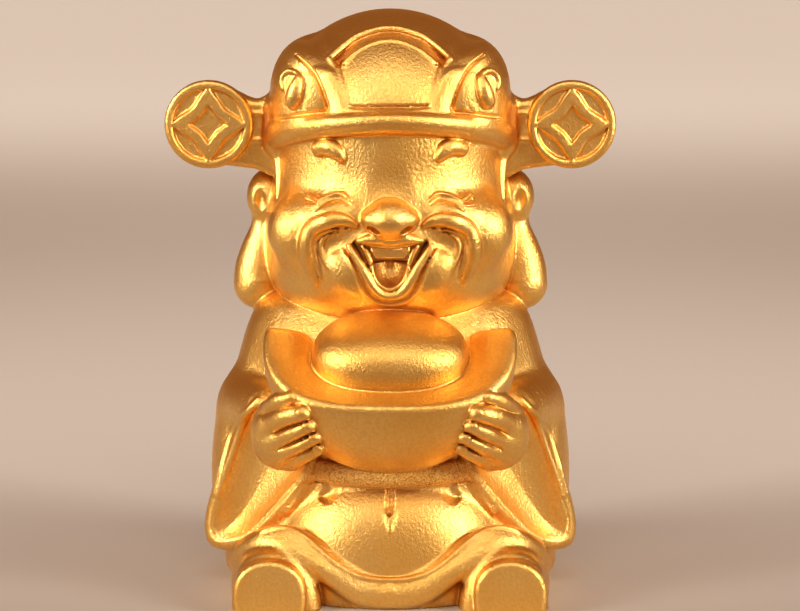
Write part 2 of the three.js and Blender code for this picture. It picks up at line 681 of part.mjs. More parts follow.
function leg(side) {
  const steps = 8;
  const arch = Array.from({ length: steps + 1 }, (_, i) => {
    const turn = (Math.PI * i) / steps;
    const rise = SOLE_HEIGHT * (0.3 + 0.7 * Math.sin(turn) ** 0.8);
    return [side * SOLE_CENTRE + SOLE_HALF_WIDTH * Math.cos(turn), rise];
  });
  const heel = SOLE_HALF_WIDTH * 0.92;
  const outline = outlineOf([[side * SOLE_CENTRE - heel, 0], [side * SOLE_CENTRE + heel, 0], ...arch]);
  const sole = solid(plate(outline, SOLE_FRONT, SOLE_DEPTH, { bevel: 1 }));
  const shoe = solid(plate(outlineOf(onSide(side, SHOE)), SHOE_FRONT, 9, { bevel: 2 }));
  const shin = egg([side * 19.9, -14, 1.6], [7.6, 13, 9.2], { sides: 10, rings: 7 });
  return joined([sole, shoe, shin]);
}

function figureSolid() {
  const single = [robe(), belly(), belt(), hem(), head(), nose(), hat(), ingot()];
  const paired = LEFT_AND_RIGHT.flatMap((side) =>
    [cheek, ear, wing, sleeve, hand, leg, moustache, brow, eye].map((made) => made(side)),
  );
  const whole = joined([...single, ...paired]).subtract(mouthHollow()).add(mouth());
  const carved = LEFT_AND_RIGHT.flatMap(coinRelief).reduce((left, cut) => left.subtract(cut), whole);
  const ground = new THREE.BoxGeometry(200 * share, 200 * share, 50 * share);
  ground.translate(0, 0, -25 * share);
  return carved.subtract(solid(ground));
}

const figure = new THREE.Mesh(geometryOf(figureSolid()), new THREE.MeshStandardMaterial(GOLD));
figure.name = "caishen_figure";

const part = new THREE.Group();
part.add(figure);
export default part;
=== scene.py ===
import math
from functools import cache
from itertools import product

import bpy
import numpy as np
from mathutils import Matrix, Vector


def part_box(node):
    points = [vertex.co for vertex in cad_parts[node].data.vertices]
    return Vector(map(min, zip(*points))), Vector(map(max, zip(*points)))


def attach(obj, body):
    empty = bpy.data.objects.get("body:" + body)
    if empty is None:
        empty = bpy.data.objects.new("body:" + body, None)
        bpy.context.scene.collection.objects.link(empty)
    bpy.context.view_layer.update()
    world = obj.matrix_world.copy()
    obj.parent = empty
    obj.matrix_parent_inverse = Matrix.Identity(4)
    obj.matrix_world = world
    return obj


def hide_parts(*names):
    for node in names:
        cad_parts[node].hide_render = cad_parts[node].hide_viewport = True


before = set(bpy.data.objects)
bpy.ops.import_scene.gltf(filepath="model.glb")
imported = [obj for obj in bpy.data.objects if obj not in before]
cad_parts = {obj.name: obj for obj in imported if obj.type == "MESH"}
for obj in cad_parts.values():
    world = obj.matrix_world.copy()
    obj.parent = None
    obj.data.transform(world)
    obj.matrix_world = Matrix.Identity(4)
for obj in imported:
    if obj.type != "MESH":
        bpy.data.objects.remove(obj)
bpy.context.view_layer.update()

FIGURE = "caishen_figure"

# All forms are measured in shares: hundredths of the figure's height.
figure_low, figure_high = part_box(FIGURE)
SHARE = (figure_high.z - figure_low.z) / 100

# The grid that the figure is modelled on, and the most faces that the finished piece keeps.
GRID_LOW = (0.0, -36.0, -1.0)
GRID_HIGH = (40.5, 25.5, 101.5)
GRID_STEP = 0.33
MOST_FACES = 196_000
# The distance that the empty grid holds, a plane in front of all the metal, the thinnest that a
# strand may be, and a number that keeps a division from failing.
FAR = 9.0
WELL_IN_FRONT = -40.0
LEAST_RADIUS = 0.05
TINY = 1e-9

# The head is nearly round in plan and widest at the cheeks.
CHEEK_HALF_WIDTH = 21.7
CHEEK_LEVEL = 60.5
JAW_DROP = 16.2
JAW_FULLNESS = 2.8
TEMPLE_NARROWING = 1.9
TEMPLE_RISE = 14.0
TEMPLE_LEVELS = (64, 68, 71.5, 75, 78)
HEAD_TOP = 82.0
HEAD_DEPTH_RATIO = 0.96

# The hat is a dome over a rolled brim that tips up at the front.
DOME_CENTRE = (0.0, 0.5, 78.5)
DOME_RADII = (21.2, 20.6, 21.5)
BULGE_CENTRE = (9.5, -0.8, 84.0)
BULGE_RADII = (11.4, 15.6, 12.0)
BULGE_SQUARENESS = 2.6
# The side of the hat thickens where the wing joins it.
WING_ROOT = [(19.7, -3.4, 77.0), (19.6, -3.2, 82.6)]
BRIM_RADIUS = 20.4
BRIM_ROLL = 1.85
BRIM_SPREAD = 1.5
BRIM_LEVEL = 77.3
BRIM_TIP_UP = math.radians(12)

# The coin at the end of each wing.
COIN_CENTRE = (31.3, -3.2, 80.3)
COIN_RADIUS = 7.6
COIN_THICKNESS = 2.6
COIN_RING_WIDTH = 1.5
COIN_RELIEF_DEPTH = 0.75

# The ingot's hull, and below it the round lump on its deck.
HULL_CENTRE = (0.0, -22.0, 44.0)
HULL_RADII = (21.3, 13.5, 21.2)
HULL_SQUARENESS = 2.5
# The top edge of the horns, and how it falls to the back.
HORN_TOP = [
    (0, 43.0), (12.5, 44.3), (13.8, 45.3), (15.4, 46.1),
    (17.0, 46.4), (18.6, 46.5), (20.2, 46.4), (21.3, 45.7),
]
HORN_FALL = 0.22
# The deck's front rim and its slope to the back, by distance from the middle.
DECK_RIM = [
    (0, 35.7), (4, 35.75), (8.9, 36.0), (14.2, 36.9),
    (17.0, 38.2), (19.7, 40.4), (20.9, 42.5), (21.3, 44.9),
]
DECK_SLOPE = [(0, 0.45), (12, 0.46), (16.5, 0.65), (19.4, 0.8), (21.3, 1.0)]
KNOB_CENTRE = (0.0, -21.6, 42.5)
KNOB_RADII = (13.2, 9.6, 6.7)

# How deep the robe is from front to back at each level, as a share of its width.
ROBE_DEPTHS = [(0, 0.8), (30, 0.8), (44, 0.74), (52.3, 0.58)]
# Where each cuff's inner edge stands, and how far the cuff turns outwards.
CUFF_CORNER = (12.4, -21.4)
CUFF_TURN = math.radians(32)

# The upright soles.
SOLE_CENTRE = 20.2
SOLE_FRONT = -30.0
SOLE_DEPTH = 6.0
SOLE_HALF_WIDTH = 6.2
SOLE_HEIGHT = 9.2


# Modelling: fields of distance, below zero inside the metal.

class Grid:
    """Places on an even grid over the right half of the figure; the left half is its mirror image."""

    def __init__(self, low, high, step):
        self.axes = [np.arange(a, b, step, dtype=np.float32) for a, b in zip(low, high)]
        self.field = np.full([len(axis) for axis in self.axes], FAR, np.float32)

    def within(self, low, high):
        cut = tuple(slice(*np.searchsorted(axis, ends)) for axis, *ends in zip(self.axes, low, high))
        return cut, np.ix_(*(axis[part] for axis, part in zip(self.axes, cut)))


class Spots:
    """Loose places, folded onto the right half of the figure."""

    def __init__(self, places):
        self.axes = [np.abs(places[:, 0]), places[:, 1], places[:, 2]]
        self.field = np.full(len(places), FAR, np.float32)

    def within(self, low, high):
        held = np.ones(len(self.field), bool)
        for axis, a, b in zip(self.axes, low, high):
            held &= (axis >= a) & (axis <= b)
        cut = np.nonzero(held)[0]
        return cut, [axis[cut] for axis in self.axes]


class Form:
    """A shape with a box round it and its distance at any places."""

    def __init__(self, low, high, distance):
        self.low, self.high, self.distance = np.array(low, float), np.array(high, float), distance


def melted(a, b, blend):
    """The lower of two distances, with a soft fillet where they meet."""
    if not blend:
        return np.minimum(a, b)
    near = np.maximum(blend - np.abs(a - b), 0) / blend
    return np.minimum(a, b) - near * near * (blend / 4)


def change(clay, form, rule, blend):
    """Gives the rule the clay's distances and the form's, wherever the form can reach."""
    reach = blend + 3 * GRID_STEP
    cut, places = clay.within(form.low - reach, form.high + reach)
    clay.field[cut] = rule(clay.field[cut], form.distance(*places))


def add(clay, form, blend=0.0):
    change(clay, form, lambda held, new: melted(held, new, blend), blend)


def carve(clay, form, blend=0.0):
    change(clay, form, lambda held, new: -melted(-held, new, blend), blend)


def overlap(a, b, blend=0.0):
    """What two forms share."""
    low, high = np.maximum(a.low, b.low), np.minimum(a.high, b.high)
    return Form(low, high, lambda *p: -melted(-a.distance(*p), -b.distance(*p), blend))


def joined(forms, blend=0.0):
    low, high = np.min([form.low for form in forms], 0), np.max([form.high for form in forms], 0)

    def distance(*places):
        out = forms[0].distance(*places)
        for form in forms[1:]:
            out = melted(out, form.distance(*places), blend)
        return out

    return Form(low, high, distance)


def outside(form, lift=0.0):
    """All that is further than lift from a form."""
    far = np.full(3, 200.0)
    return Form(-far, far, lambda *p: lift - form.distance(*p))


def grown(form, lift):
    return Form(form.low - lift, form.high + lift, lambda *p: form.distance(*p) - lift)


def turned_by(rotation):
    """A form's turn about its own X, then Y, then Z, in degrees, as a matrix that takes places into it."""
    angles = [math.radians(turn) for turn in rotation]
    (cx, sx), (cy, sy), (cz, sz) = ((math.cos(angle), math.sin(angle)) for angle in angles)
    about_x = np.array([[1, 0, 0], [0, cx, -sx], [0, sx, cx]])
    about_y = np.array([[cy, 0, sy], [0, 1, 0], [-sy, 0, cy]])
    about_z = np.array([[cz, -sz, 0], [sz, cz, 0], [0, 0, 1]])
    return (about_x @ about_y @ about_z).T.astype(np.float32)


def egg(centre, radii, turn=None, fullness=2):
    """An egg with its own three radii; a fullness over 2 makes it boxier."""
    half = np.full(3, max(radii)) if turn else np.array(radii)
    into = turned_by(turn) if turn else None

    def distance(x, y, z):
        local = [x - centre[0], y - centre[1], z - centre[2]]
        if turn:
            local = [row[0] * local[0] + row[1] * local[1] + row[2] * local[2] for row in into]
        shares = [np.abs(v / r) for v, r in zip(local, radii)]
        out = (shares[0] ** fullness + shares[1] ** fullness + shares[2] ** fullness) ** (1 / fullness)
        slopes = [(share ** (fullness - 1) / r) ** 2 for share, r in zip(shares, radii)]
        slope = np.sqrt(slopes[0] + slopes[1] + slopes[2]) + 1e-6
        return out ** (fullness - 1) * (out - 1) / slope

    return Form(np.array(centre) - half, np.array(centre) + half, distance)


def smooth_line(points, steps, closed=False):
    """Points along a curve that passes through all the given ones, with as many values at each."""
    points = np.array(points, float)
    if closed:
        ends = np.vstack([points[-1:], points, points[:2]])
    else:
        ends = np.vstack([2 * points[:1] - points[1:2], points, 2 * points[-1:] - points[-2:-1]])
    out = []
    for a, b, c, d in zip(ends, ends[1:], ends[2:], ends[3:]):
        for t in np.arange(steps) / steps:
            out.append(0.5 * (2 * b + (c - a) * t + (2 * a - 5 * b + 4 * c - d) * t**2
                              + (3 * b - a - 3 * c + d) * t**3))
    if not closed:
        out.append(points[-1])
    return np.array(out)


def trimmed(line):
    """A line of points and radii, shortened so that its round ends stop where it stopped."""
    gaps = np.linalg.norm(np.diff(line[:, :3], axis=0), axis=1)
    along = np.concatenate([[0], np.cumsum(gaps)])
    start, stop = line[0, 3], along[-1] - line[-1, 3]
    if stop <= start:
        start = stop = along[-1] / 2
    marks = np.concatenate([[start], along[(along > start) & (along < stop)], [stop]])
    return np.column_stack([np.interp(marks, along, column) for column in line.T])


def strand(points, radii, flat=1.0, whole=False):
    """A round-ended roll. flat is its thickness outwards from the figure's axis, as a share of its width.
    The round ends of a whole strand lie beyond the line, and the others stop where the line stops."""
    line = smooth_line(np.column_stack([points, radii]), 4)
    if not whole:
        line = trimmed(line)
    middles, sizes = line[:, :3], np.maximum(line[:, 3], LEAST_RADIUS)
    fronts = middles * (1, 1, 0)
    along = np.gradient(middles, axis=0)
    fronts = fronts - along * ((fronts * along).sum(1) / (along * along).sum(1))[:, None]
    fronts /= np.linalg.norm(fronts, axis=1, keepdims=True)

    def distance(x, y, z):
        best = None
        for i, (a, b, ra, rb) in enumerate(zip(middles, middles[1:], sizes, sizes[1:])):
            run = b - a
            length = float(run @ run) + TINY
            px, py, pz = x - a[0], y - a[1], z - a[2]
            t = np.clip((px * run[0] + py * run[1] + pz * run[2]) / length, 0, 1)
            px, py, pz = px - t * run[0], py - t * run[1], pz - t * run[2]
            square = px * px + py * py + pz * pz
            radius = ra + t * (rb - ra)
            if flat == 1.0:
                new = np.sqrt(square) - radius
            else:
                fx, fy, fz = (p + t * (q - p) for p, q in zip(fronts[i], fronts[i + 1]))
                thick = (px * fx + py * fy + pz * fz) ** 2 / flat**2
                wide = np.maximum(square - thick * flat**2, 0)
                out = np.sqrt(wide + thick) / radius
                new = (out - 1) * out * radius / np.sqrt((wide + thick / flat**2) / radius**2 + TINY)
            best = new if best is None else np.minimum(best, new)
        return best

    edge = sizes[:, None]
    return Form((middles - edge).min(0), (middles + edge).max(0), distance)


def outline_distance(points, u, v):
    """How far places in a plane are from a closed outline, below zero inside it."""
    best, inside = None, False
    for (au, av), (bu, bv) in zip(points, np.roll(points, -1, axis=0)):
        eu, ev = bu - au, bv - av
        pu, pv = u - au, v - av
        t = np.clip((pu * eu + pv * ev) / (eu * eu + ev * ev), 0, 1)
        gap = (pu - t * eu) ** 2 + (pv - t * ev) ** 2
        best = gap if best is None else np.minimum(best, gap)
        if ev:
            inside = inside ^ (((av > v) != (bv > v)) & (pu < pv * (eu / ev)))
    return np.where(inside, -1, 1) * np.sqrt(best)


def plate(outline, front, depth, edge=0.0):
    """A plate cut to an outline in the front view, with edges rounded to a radius."""
    points = np.array(outline, float)
    low, high = points.min(0), points.max(0)

    def distance(x, y, z):
        across = outline_distance(points, x, z) + edge
        through = np.abs(y - (front + depth / 2)) - depth / 2 + edge
        out = np.sqrt(np.maximum(across, 0) ** 2 + np.maximum(through, 0) ** 2)
        return out + np.minimum(np.maximum(across, through), 0) - edge

    return Form((low[0], front, low[1]), (high[0], front + depth, high[1]), distance)


def bowl(outline, front, depth, slope):
    """A hollow with sloping sides, cut into a flat front."""
    points = np.array(outline, float)
    low, high = points.min(0), points.max(0)
    ease = 0.8

    def distance(x, y, z):
        across = outline_distance(points, x, z)
        floor = depth * (1 - np.exp(np.minimum(across, 0) * (slope / depth)))
        return np.maximum(across * ease, (y - front - floor) * ease)

    return Form((low[0], front - 2, low[1]), (high[0], front + depth, high[1]), distance)


def on_slant(form, corner, angle):
    """A form turned about an upright axis and set with its own zero at the corner."""
    cos, sin = math.cos(angle), math.sin(angle)
    corners = np.array(list(product(*zip(form.low, form.high))))
    x = corners[:, 0] * cos - corners[:, 1] * sin + corner[0]
    y = corners[:, 0] * sin + corners[:, 1] * cos + corner[1]

    def distance(px, py, pz):
        px, py = px - corner[0], py - corner[1]
        return form.distance(px * cos + py * sin, py * cos - px * sin, pz)

    return Form((x.min(), y.min(), form.low[2]), (x.max(), y.max(), form.high[2]), distance)


def lathed(profile, depths, top, bottom):
    """A body of revolution about Z from a radius at each level. depths gives how deep it is from front
    to back at each level, as a share of its width."""
    levels = np.linspace(bottom, top, 400)
    line = smooth_line(profile, 8)
    radius = np.interp(levels, line[:, 1], line[:, 0])
    lean = 1 / np.hypot(1, np.gradient(radius, levels))
    deep = np.interp(levels, *zip(*depths))

    def distance(x, y, z):
        across = np.sqrt(x * x + (y / np.interp(z, levels, deep)) ** 2)
        side = (across - np.interp(z, levels, radius)) * np.interp(z, levels, lean)
        return np.maximum(side, np.maximum(z - top, bottom - z)).astype(np.float32)

    wide = max(radius)
    return Form((-wide, -wide, bottom), (wide, wide, top), distance)


def draw(clay, points, height, back=-4.0):
    """Raises a soft ridge, or sinks a groove, along a line drawn on the front of the figure.
    Each point is x, z and the line's half width there."""
    line = smooth_line(points, 4)
    widest = line[:, 2].max()
    low = (line[:, 0].min() - widest, WELL_IN_FRONT, line[:, 1].min() - widest)
    high = (line[:, 0].max() + widest, back, line[:, 1].max() + widest)
    cut, (x, _, z) = clay.within(np.array(low), np.array(high))
    best = None
    for (ax, az, aw), (bx, bz, bw) in zip(line, line[1:]):
        ex, ez = bx - ax, bz - az
        px, pz = x - ax, z - az
        t = np.clip((px * ex + pz * ez) / (ex * ex + ez * ez + TINY), 0, 1)
        width = np.maximum(aw + t * (bw - aw), 0.02)
        off = ((px - t * ex) ** 2 + (pz - t * ez) ** 2) / width**2
        best = off if best is None else np.minimum(best, off)
    clay.field[cut] -= height * np.maximum(1 - best, 0) ** 2


def mirrored(points):
    """A line that ends on the middle plane, carried on to the other side."""
    points = [tuple(p) for p in points]
    return points + [(-x, *rest) for x, *rest in reversed(points[:-1])]


def head_half_width(z):
    z = np.asarray(z, float)
    drop = np.clip((CHEEK_LEVEL - z) / JAW_DROP, 0, 1)
    jaw = CHEEK_HALF_WIDTH * (1 - drop**JAW_FULLNESS) ** (1 / JAW_FULLNESS)
    rise = np.clip((z - CHEEK_LEVEL) / TEMPLE_RISE, 0, 1)
    temple = CHEEK_HALF_WIDTH - TEMPLE_NARROWING * rise * rise * (3 - 2 * rise)
    return np.where(z < CHEEK_LEVEL, jaw, temple)


def both_halves(radii):
    """The radii of half a line, carried on in reverse order over its mirrored half."""
    return radii + radii[-2::-1]


@cache
def placed_on(base, points, lift):
    """Puts points of the front view onto the front of what base models, raised by lift."""
    front, back, step, nudge = -34.0, -2.0, 0.05, 0.1
    depths = np.arange(front, back, step)
    x, z = np.array(points, float).T
    columns = np.stack(np.broadcast_arrays(x[:, None], depths, z[:, None]), -1)
    clay = Spots(columns.reshape(-1, 3))
    base(clay)
    first = np.argmax(clay.field.reshape(len(points), -1) < 0, axis=1)
    hit = np.column_stack([x, depths[first], z])
    nudged = np.concatenate([hit, *(hit + move for move in np.eye(3) * nudge)])
    clay = Spots(nudged)
    clay.axes[0] = nudged[:, 0]
    base(clay)
    here, *near = clay.field.reshape(4, -1)
    out = np.column_stack([value - here for value in near])
    return hit + lift * out / np.linalg.norm(out, axis=1, keepdims=True)


def on_face(points, lift=0.0):
    return placed_on(bare_face, tuple(points), lift)


# The head.

def skull():
    bottom = CHEEK_LEVEL - JAW_DROP
    levels = CHEEK_LEVEL - JAW_DROP * np.cos(np.linspace(0.02, math.pi / 2, 24))
    profile = [(float(head_half_width(z)), z) for z in [*levels, *TEMPLE_LEVELS, HEAD_TOP]]
    depths = [(0, HEAD_DEPTH_RATIO), (100, HEAD_DEPTH_RATIO)]
    return lathed(profile, depths, top=HEAD_TOP, bottom=bottom)


def bare_face(clay):
    """The head with its cheeks and eye sockets, before any feature."""
    cheek = egg((14.0, -11.6, 62.6), (7.0, 6.4, 6.8))
    under_eye = egg((9.8, -15.6, 66.0), (4.4, 4.6, 2.9))
    socket = egg((8.8, -25.2, 72.8), (7.0, 5.6, 3.6), turn=(0, 12, 0))
    bridge = egg((0, -26.4, 71.8), (5.0, 6.0, 3.0))
    add(clay, skull())
    add(clay, cheek, blend=2.5)
    add(clay, under_eye, blend=2.5)
    carve(clay, socket, blend=3.0)
    carve(clay, bridge, blend=3.0)


def eyes(clay):
    """The closed lid is a thin arch between two grooves, and splits into crow's feet at its outer end."""
    lid = [
        (14.3, 67.5), (12.7, 67.6), (11.7, 68.4), (10.8, 68.9), (9.8, 69.3),
        (8.7, 69.6), (7.8, 69.5), (7.2, 69.0), (6.5, 68.4),
    ]
    lid_radii = [0.2, 0.3, 0.35, 0.35, 0.35, 0.35, 0.35, 0.3, 0.2]
    upper_foot = [(13.6, 69.3), (12.8, 68.7), (11.9, 68.4)]
    groove_below = [
        (12.4, 66.9, 0.3), (11.2, 67.8, 0.5), (9.8, 68.5, 0.5),
        (8.6, 68.8, 0.5), (7.7, 68.6, 0.5), (6.9, 67.9, 0.3),
    ]
    groove_above = [
        (11.4, 69.2, 0.3), (10.2, 69.8, 0.45), (8.8, 70.2, 0.45), (7.6, 70.1, 0.4), (6.9, 69.5, 0.3),
    ]
    fork = [(14.0, 68.4, 0.3), (13.0, 68.1, 0.45), (12.4, 68.0, 0.3)]
    add(clay, strand(on_face(lid, lift=0.1), lid_radii), blend=0.2)
    add(clay, strand(on_face(upper_foot, lift=0.1), [0.2, 0.35, 0.35], whole=True), blend=0.3)
    draw(clay, groove_below, height=-0.2, back=-12)
    draw(clay, groove_above, height=-0.1, back=-12)
    draw(clay, fork, height=-0.25, back=-10)


def brow(clay):
    """A thick comma, broad at its outer end."""
    line = [(11.9, 77.0), (10.7, 77.4), (9.5, 77.1), (8.6, 76.3), (8.1, 75.6)]
    radii = [1.35, 1.55, 1.45, 1.15, 0.75]
    add(clay, strand(on_face(line, lift=0.15), radii, whole=True), blend=0.25)


def nose(clay):
    """A wide nose: a rounded top, two wings and a low round tip over the nostrils."""
    ball = egg((0, -20.8, 65.6), (4.2, 4.2, 3.6))
    nose_wing = egg((3.3, -21.0, 65.6), (1.55, 2.5, 1.6))
    tip = egg((0, -22.4, 65.4), (2.8, 2.3, 1.6))
    nostril = egg((2.7, -22.7, 64.1), (1.25, 1.6, 0.8), turn=(25, 0, 0))
    add(clay, ball, blend=0.4)
    add(clay, nose_wing, blend=0.9)
    add(clay, tip, blend=1.0)
    carve(clay, nostril, blend=0.4)


def moustache(clay):
    """A broad roll sweeps out over the cheek and hangs down, with two thin folds along its inner side."""
    dent_beside_mouth = egg((9.1, -22.6, 60.5), (2.6, 4.0, 3.2), turn=(0, -15, 0))
    carve(clay, dent_beside_mouth, blend=2.4)
    roll = [
        (5.4, 64.2), (7.0, 65.1), (8.8, 65.5), (10.6, 65.2), (12.2, 64.5), (13.4, 63.4), (14.1, 62.0),
        (14.25, 60.4), (14.0, 58.8), (13.4, 57.0), (12.8, 55.4), (12.2, 53.9),
    ]
    roll_radii = [0.4, 0.9, 1.2, 1.35, 1.4, 1.4, 1.4, 1.4, 1.35, 1.2, 0.9, 0.35]
    add(clay, strand(on_face(roll, lift=0.2), roll_radii, flat=0.75), blend=0.35)
    outer_fold = [
        (6.6, 63.7), (8.6, 63.8), (10.6, 63.4), (12.0, 62.6), (12.7, 61.4),
        (12.8, 60.0), (12.5, 58.5), (12.0, 57.0), (11.6, 55.4),
    ]
    outer_radii = [0.05, 0.15, 0.32, *[0.45] * 5, 0.2]
    add(clay, strand(on_face(outer_fold, lift=0.15), outer_radii, whole=True), blend=0.35)
    inner_fold = [
        (8.0, 63.0), (9.6, 62.9), (11.0, 62.2), (11.6, 61.0), (11.5, 59.8), (11.1, 58.6), (10.6, 57.4),
    ]
    inner_radii = [0.05, 0.15, 0.3, *[0.45] * 3, 0.2]
    add(clay, strand(on_face(inner_fold, lift=0.05), inner_radii, whole=True), blend=0.35)


def opening(clay):
    """The hollow of the mouth behind the lips."""
    half = [(6.2, 61.6), (5.6, 60.4), (4.9, 58.9), (3.85, 57.2), (3.0, 55.5), (1.9, 54.0), (0, 53.4)]
    outline = [*mirrored(half), (-3.5, 62.2), (0, 62.2), (3.5, 62.2)]
    carve(clay, plate(smooth_line(outline, 4, closed=True), -30, 13.2, edge=0.3), blend=0.3)


def lips(clay):
    """The lower lip runs round the mouth, with a rim and a groove outside it; the upper lip is fuller."""
    lower = [
        (7.0, 61.4), (6.6, 60.4), (5.7, 58.9), (4.6, 57.2), (3.7, 55.5), (2.6, 53.8), (1.4, 52.8), (0, 52.5),
    ]
    lower_radii = both_halves([0.5, 0.65, 0.75, 0.85, 0.9, 0.9, 0.9, 0.9])
    add(clay, strand(on_face(mirrored(lower), lift=0.2), lower_radii), blend=0.2)
    rim = [
        (8.0, 60.3, 0.3), (7.2, 58.8, 0.45), (6.1, 56.8, 0.5), (5.2, 54.6, 0.5),
        (3.9, 52.4, 0.5), (2.2, 51.1, 0.5), (0, 50.7, 0.5),
    ]
    draw(clay, mirrored(rim), height=0.28, back=-12)
    groove = [
        (7.5, 60.6, 0.2), (6.5, 58.9, 0.35), (5.4, 56.9, 0.4), (4.5, 54.9, 0.4),
        (3.4, 53.0, 0.4), (1.9, 51.8, 0.4), (0, 51.4, 0.4),
    ]
    draw(clay, mirrored(groove), height=-0.3, back=-12)
    upper = mirrored([(5.3, 61.9), (4.0, 62.1), (2.6, 62.3), (1.3, 62.3), (0, 62.0)])
    upper_radii = both_halves([0.35, 0.75, 1.0, 1.1, 1.0])
    add(clay, strand(on_face(upper, lift=0.5), upper_radii, whole=True), blend=0.3)


def teeth(clay):
    """One band of teeth under the gum, with a faint ledge across it."""
    gum = mirrored([(5.2, 61.9), (3.2, 61.4), (0, 61.1)])
    add(clay, strand(on_face(gum, lift=-0.7), [0.4, 0.5, 0.5, 0.5, 0.4]), blend=0.15)
    outline = [(-3.5, 61.2), (3.5, 61.2), (3.3, 59.8), (2.5, 58.8), (-2.5, 58.8), (-3.3, 59.8)]
    band = overlap(plate(outline, -20.4, 6, edge=0.4), grown(skull(), -1.1), blend=0.4)
    add(clay, band, blend=0.1)
    ledge = [(-3.0, 60.1, 0.4), (0, 60.0, 0.5), (3.0, 60.1, 0.4)]
    draw(clay, ledge, height=0.12, back=-17)


def tongue(clay):
    """A hollow-topped tongue inside a thin inner rim."""
    inner_rim = mirrored([
        (5.1, 61.2), (4.3, 60.1), (3.6, 58.4), (3.2, 56.8), (2.6, 55.2), (1.5, 54.0), (0, 53.5),
    ])
    add(clay, strand(on_face(inner_rim, lift=-1.1), [0.4, *[0.5] * 11, 0.4]), blend=0.1)
    outline = smooth_line(mirrored([(3.1, 57.9), (2.9, 56.0), (2.2, 54.3), (0, 53.3)]), 3, closed=True)
    scoop = outside(egg((0, -21.5, 58.3), (2.9, 4.5, 4.4)))
    add(clay, overlap(plate(outline, -20.8, 5, edge=0.3), scoop, blend=0.3), blend=0.15)


def mouth(clay):
    """The open laughing mouth, with a swelling of the cheek at each side of it."""
    opening(clay)
    lips(clay)
    swelling = egg((7.8, -18.5, 56.2), (1.8, 1.1, 3.2), turn=(0, 25, 0))
    add(clay, swelling, blend=2.4)
    teeth(clay)
    tongue(clay)


def ear(clay):
    """The ear with its long lobe."""
    shell = egg((21.4, 3.0, 67.3), (3.8, 4.4, 4.8), turn=(0, -6, 14))
    ear_hollow = egg((22.7, -1.6, 66.7), (0.9, 1.6, 1.9))
    lobe = [(21.5, 3.0, 64.4), (21.9, 3.0, 61.0), (22.5, 3.0, 57.6), (23.0, 3.0, 54.4), (23.2, 2.8, 51.7)]
    add(clay, shell, blend=0.6)
    carve(clay, ear_hollow, blend=1.0)
    add(clay, strand(lobe, [2.6, 2.9, 3.8, 4.4, 4.5], whole=True), blend=0.8)


def sideburn(clay):
    line = [(19.6, 76.8), (19.3, 74.0), (19.2, 71.0), (19.5, 67.4)]
    add(clay, strand(on_face(line, lift=0.05), [0.7, 0.8, 0.6, 0.25]), blend=0.5)


def face(clay):
    bare_face(clay)
    eyes(clay)
    brow(clay)
    moustache(clay)
    mouth(clay)
    nose(clay)
    sideburn(clay)
    ear(clay)


# The hat.

def dome(lift=0.0):
    return egg(DOME_CENTRE, [radius + lift for radius in DOME_RADII])


def above_brim():
    """The side of the brim's tilted plane that the hat fills."""
    tip = math.tan(BRIM_TIP_UP)

    def distance(x, y, z):
        return (BRIM_LEVEL - y * tip - z) * math.cos(BRIM_TIP_UP) + 0 * x

    return Form((-60, -60, 60), (60, 60, 110), distance)


def brim():
    outer = BRIM_RADIUS + BRIM_ROLL
    tip = math.tan(BRIM_TIP_UP)

    def distance(x, y, z):
        deep = y / HEAD_DEPTH_RATIO
        reach = np.sqrt(x * x + deep * deep)
        to_front = np.clip(-deep / np.maximum(reach, 1), 0, 1)
        spread = BRIM_SPREAD + (1 - BRIM_SPREAD) * to_front
        return np.hypot(reach - BRIM_RADIUS, (z - BRIM_LEVEL + y * tip) / spread) - BRIM_ROLL

    return Form((-outer, -outer, BRIM_LEVEL - 8), (outer, outer, BRIM_LEVEL + 8), distance)


def bare_hat(clay):
    """The dome with its side bulges and a shallow channel over each shoulder, before any relief."""
    line = [(11.4, -14.4, 93.8), (13.2, -9.0, 95.8), (14.4, -3.0, 96.8)]
    channel = strand(line, [1.2, 1.6, 2.0], whole=True)
    add(clay, overlap(dome(), above_brim()), blend=0.3)
    add(clay, overlap(bulge(), above_brim()), blend=0.8)
    carve(clay, channel, blend=1.4)


def bulge():
    return egg(BULGE_CENTRE, BULGE_RADII, fullness=BULGE_SQUARENESS)


def on_hat(points, lift=0.0):
    return placed_on(bare_hat, tuple(points), lift)


def hat(clay):
    bare_hat(clay)
    frame_band(clay)
    shield(clay)
    side_panel(clay)
    add(clay, strand(WING_ROOT, [2.4, 2.4], whole=True), blend=1.5)
    add(clay, brim(), blend=0.5)
    line_over_brim = mirrored([(19.0, 77.2, 0.4), (13.5, 79.3, 0.5), (6.0, 80.6, 0.6), (0, 81.1, 0.6)])
    draw(clay, line_over_brim, height=-0.12, back=-8)
    drop_and_curl(clay)


def frame_band(clay):
    """The broad soft band between the front shield and a side panel."""
    line = [(9.1, 81.0), (9.4, 84.0), (10.2, 87.0), (11.4, 89.8)]
    add(clay, strand(on_hat(line, lift=-0.3), [1.7, 1.8, 2.0, 1.8], flat=0.4), blend=2.2)


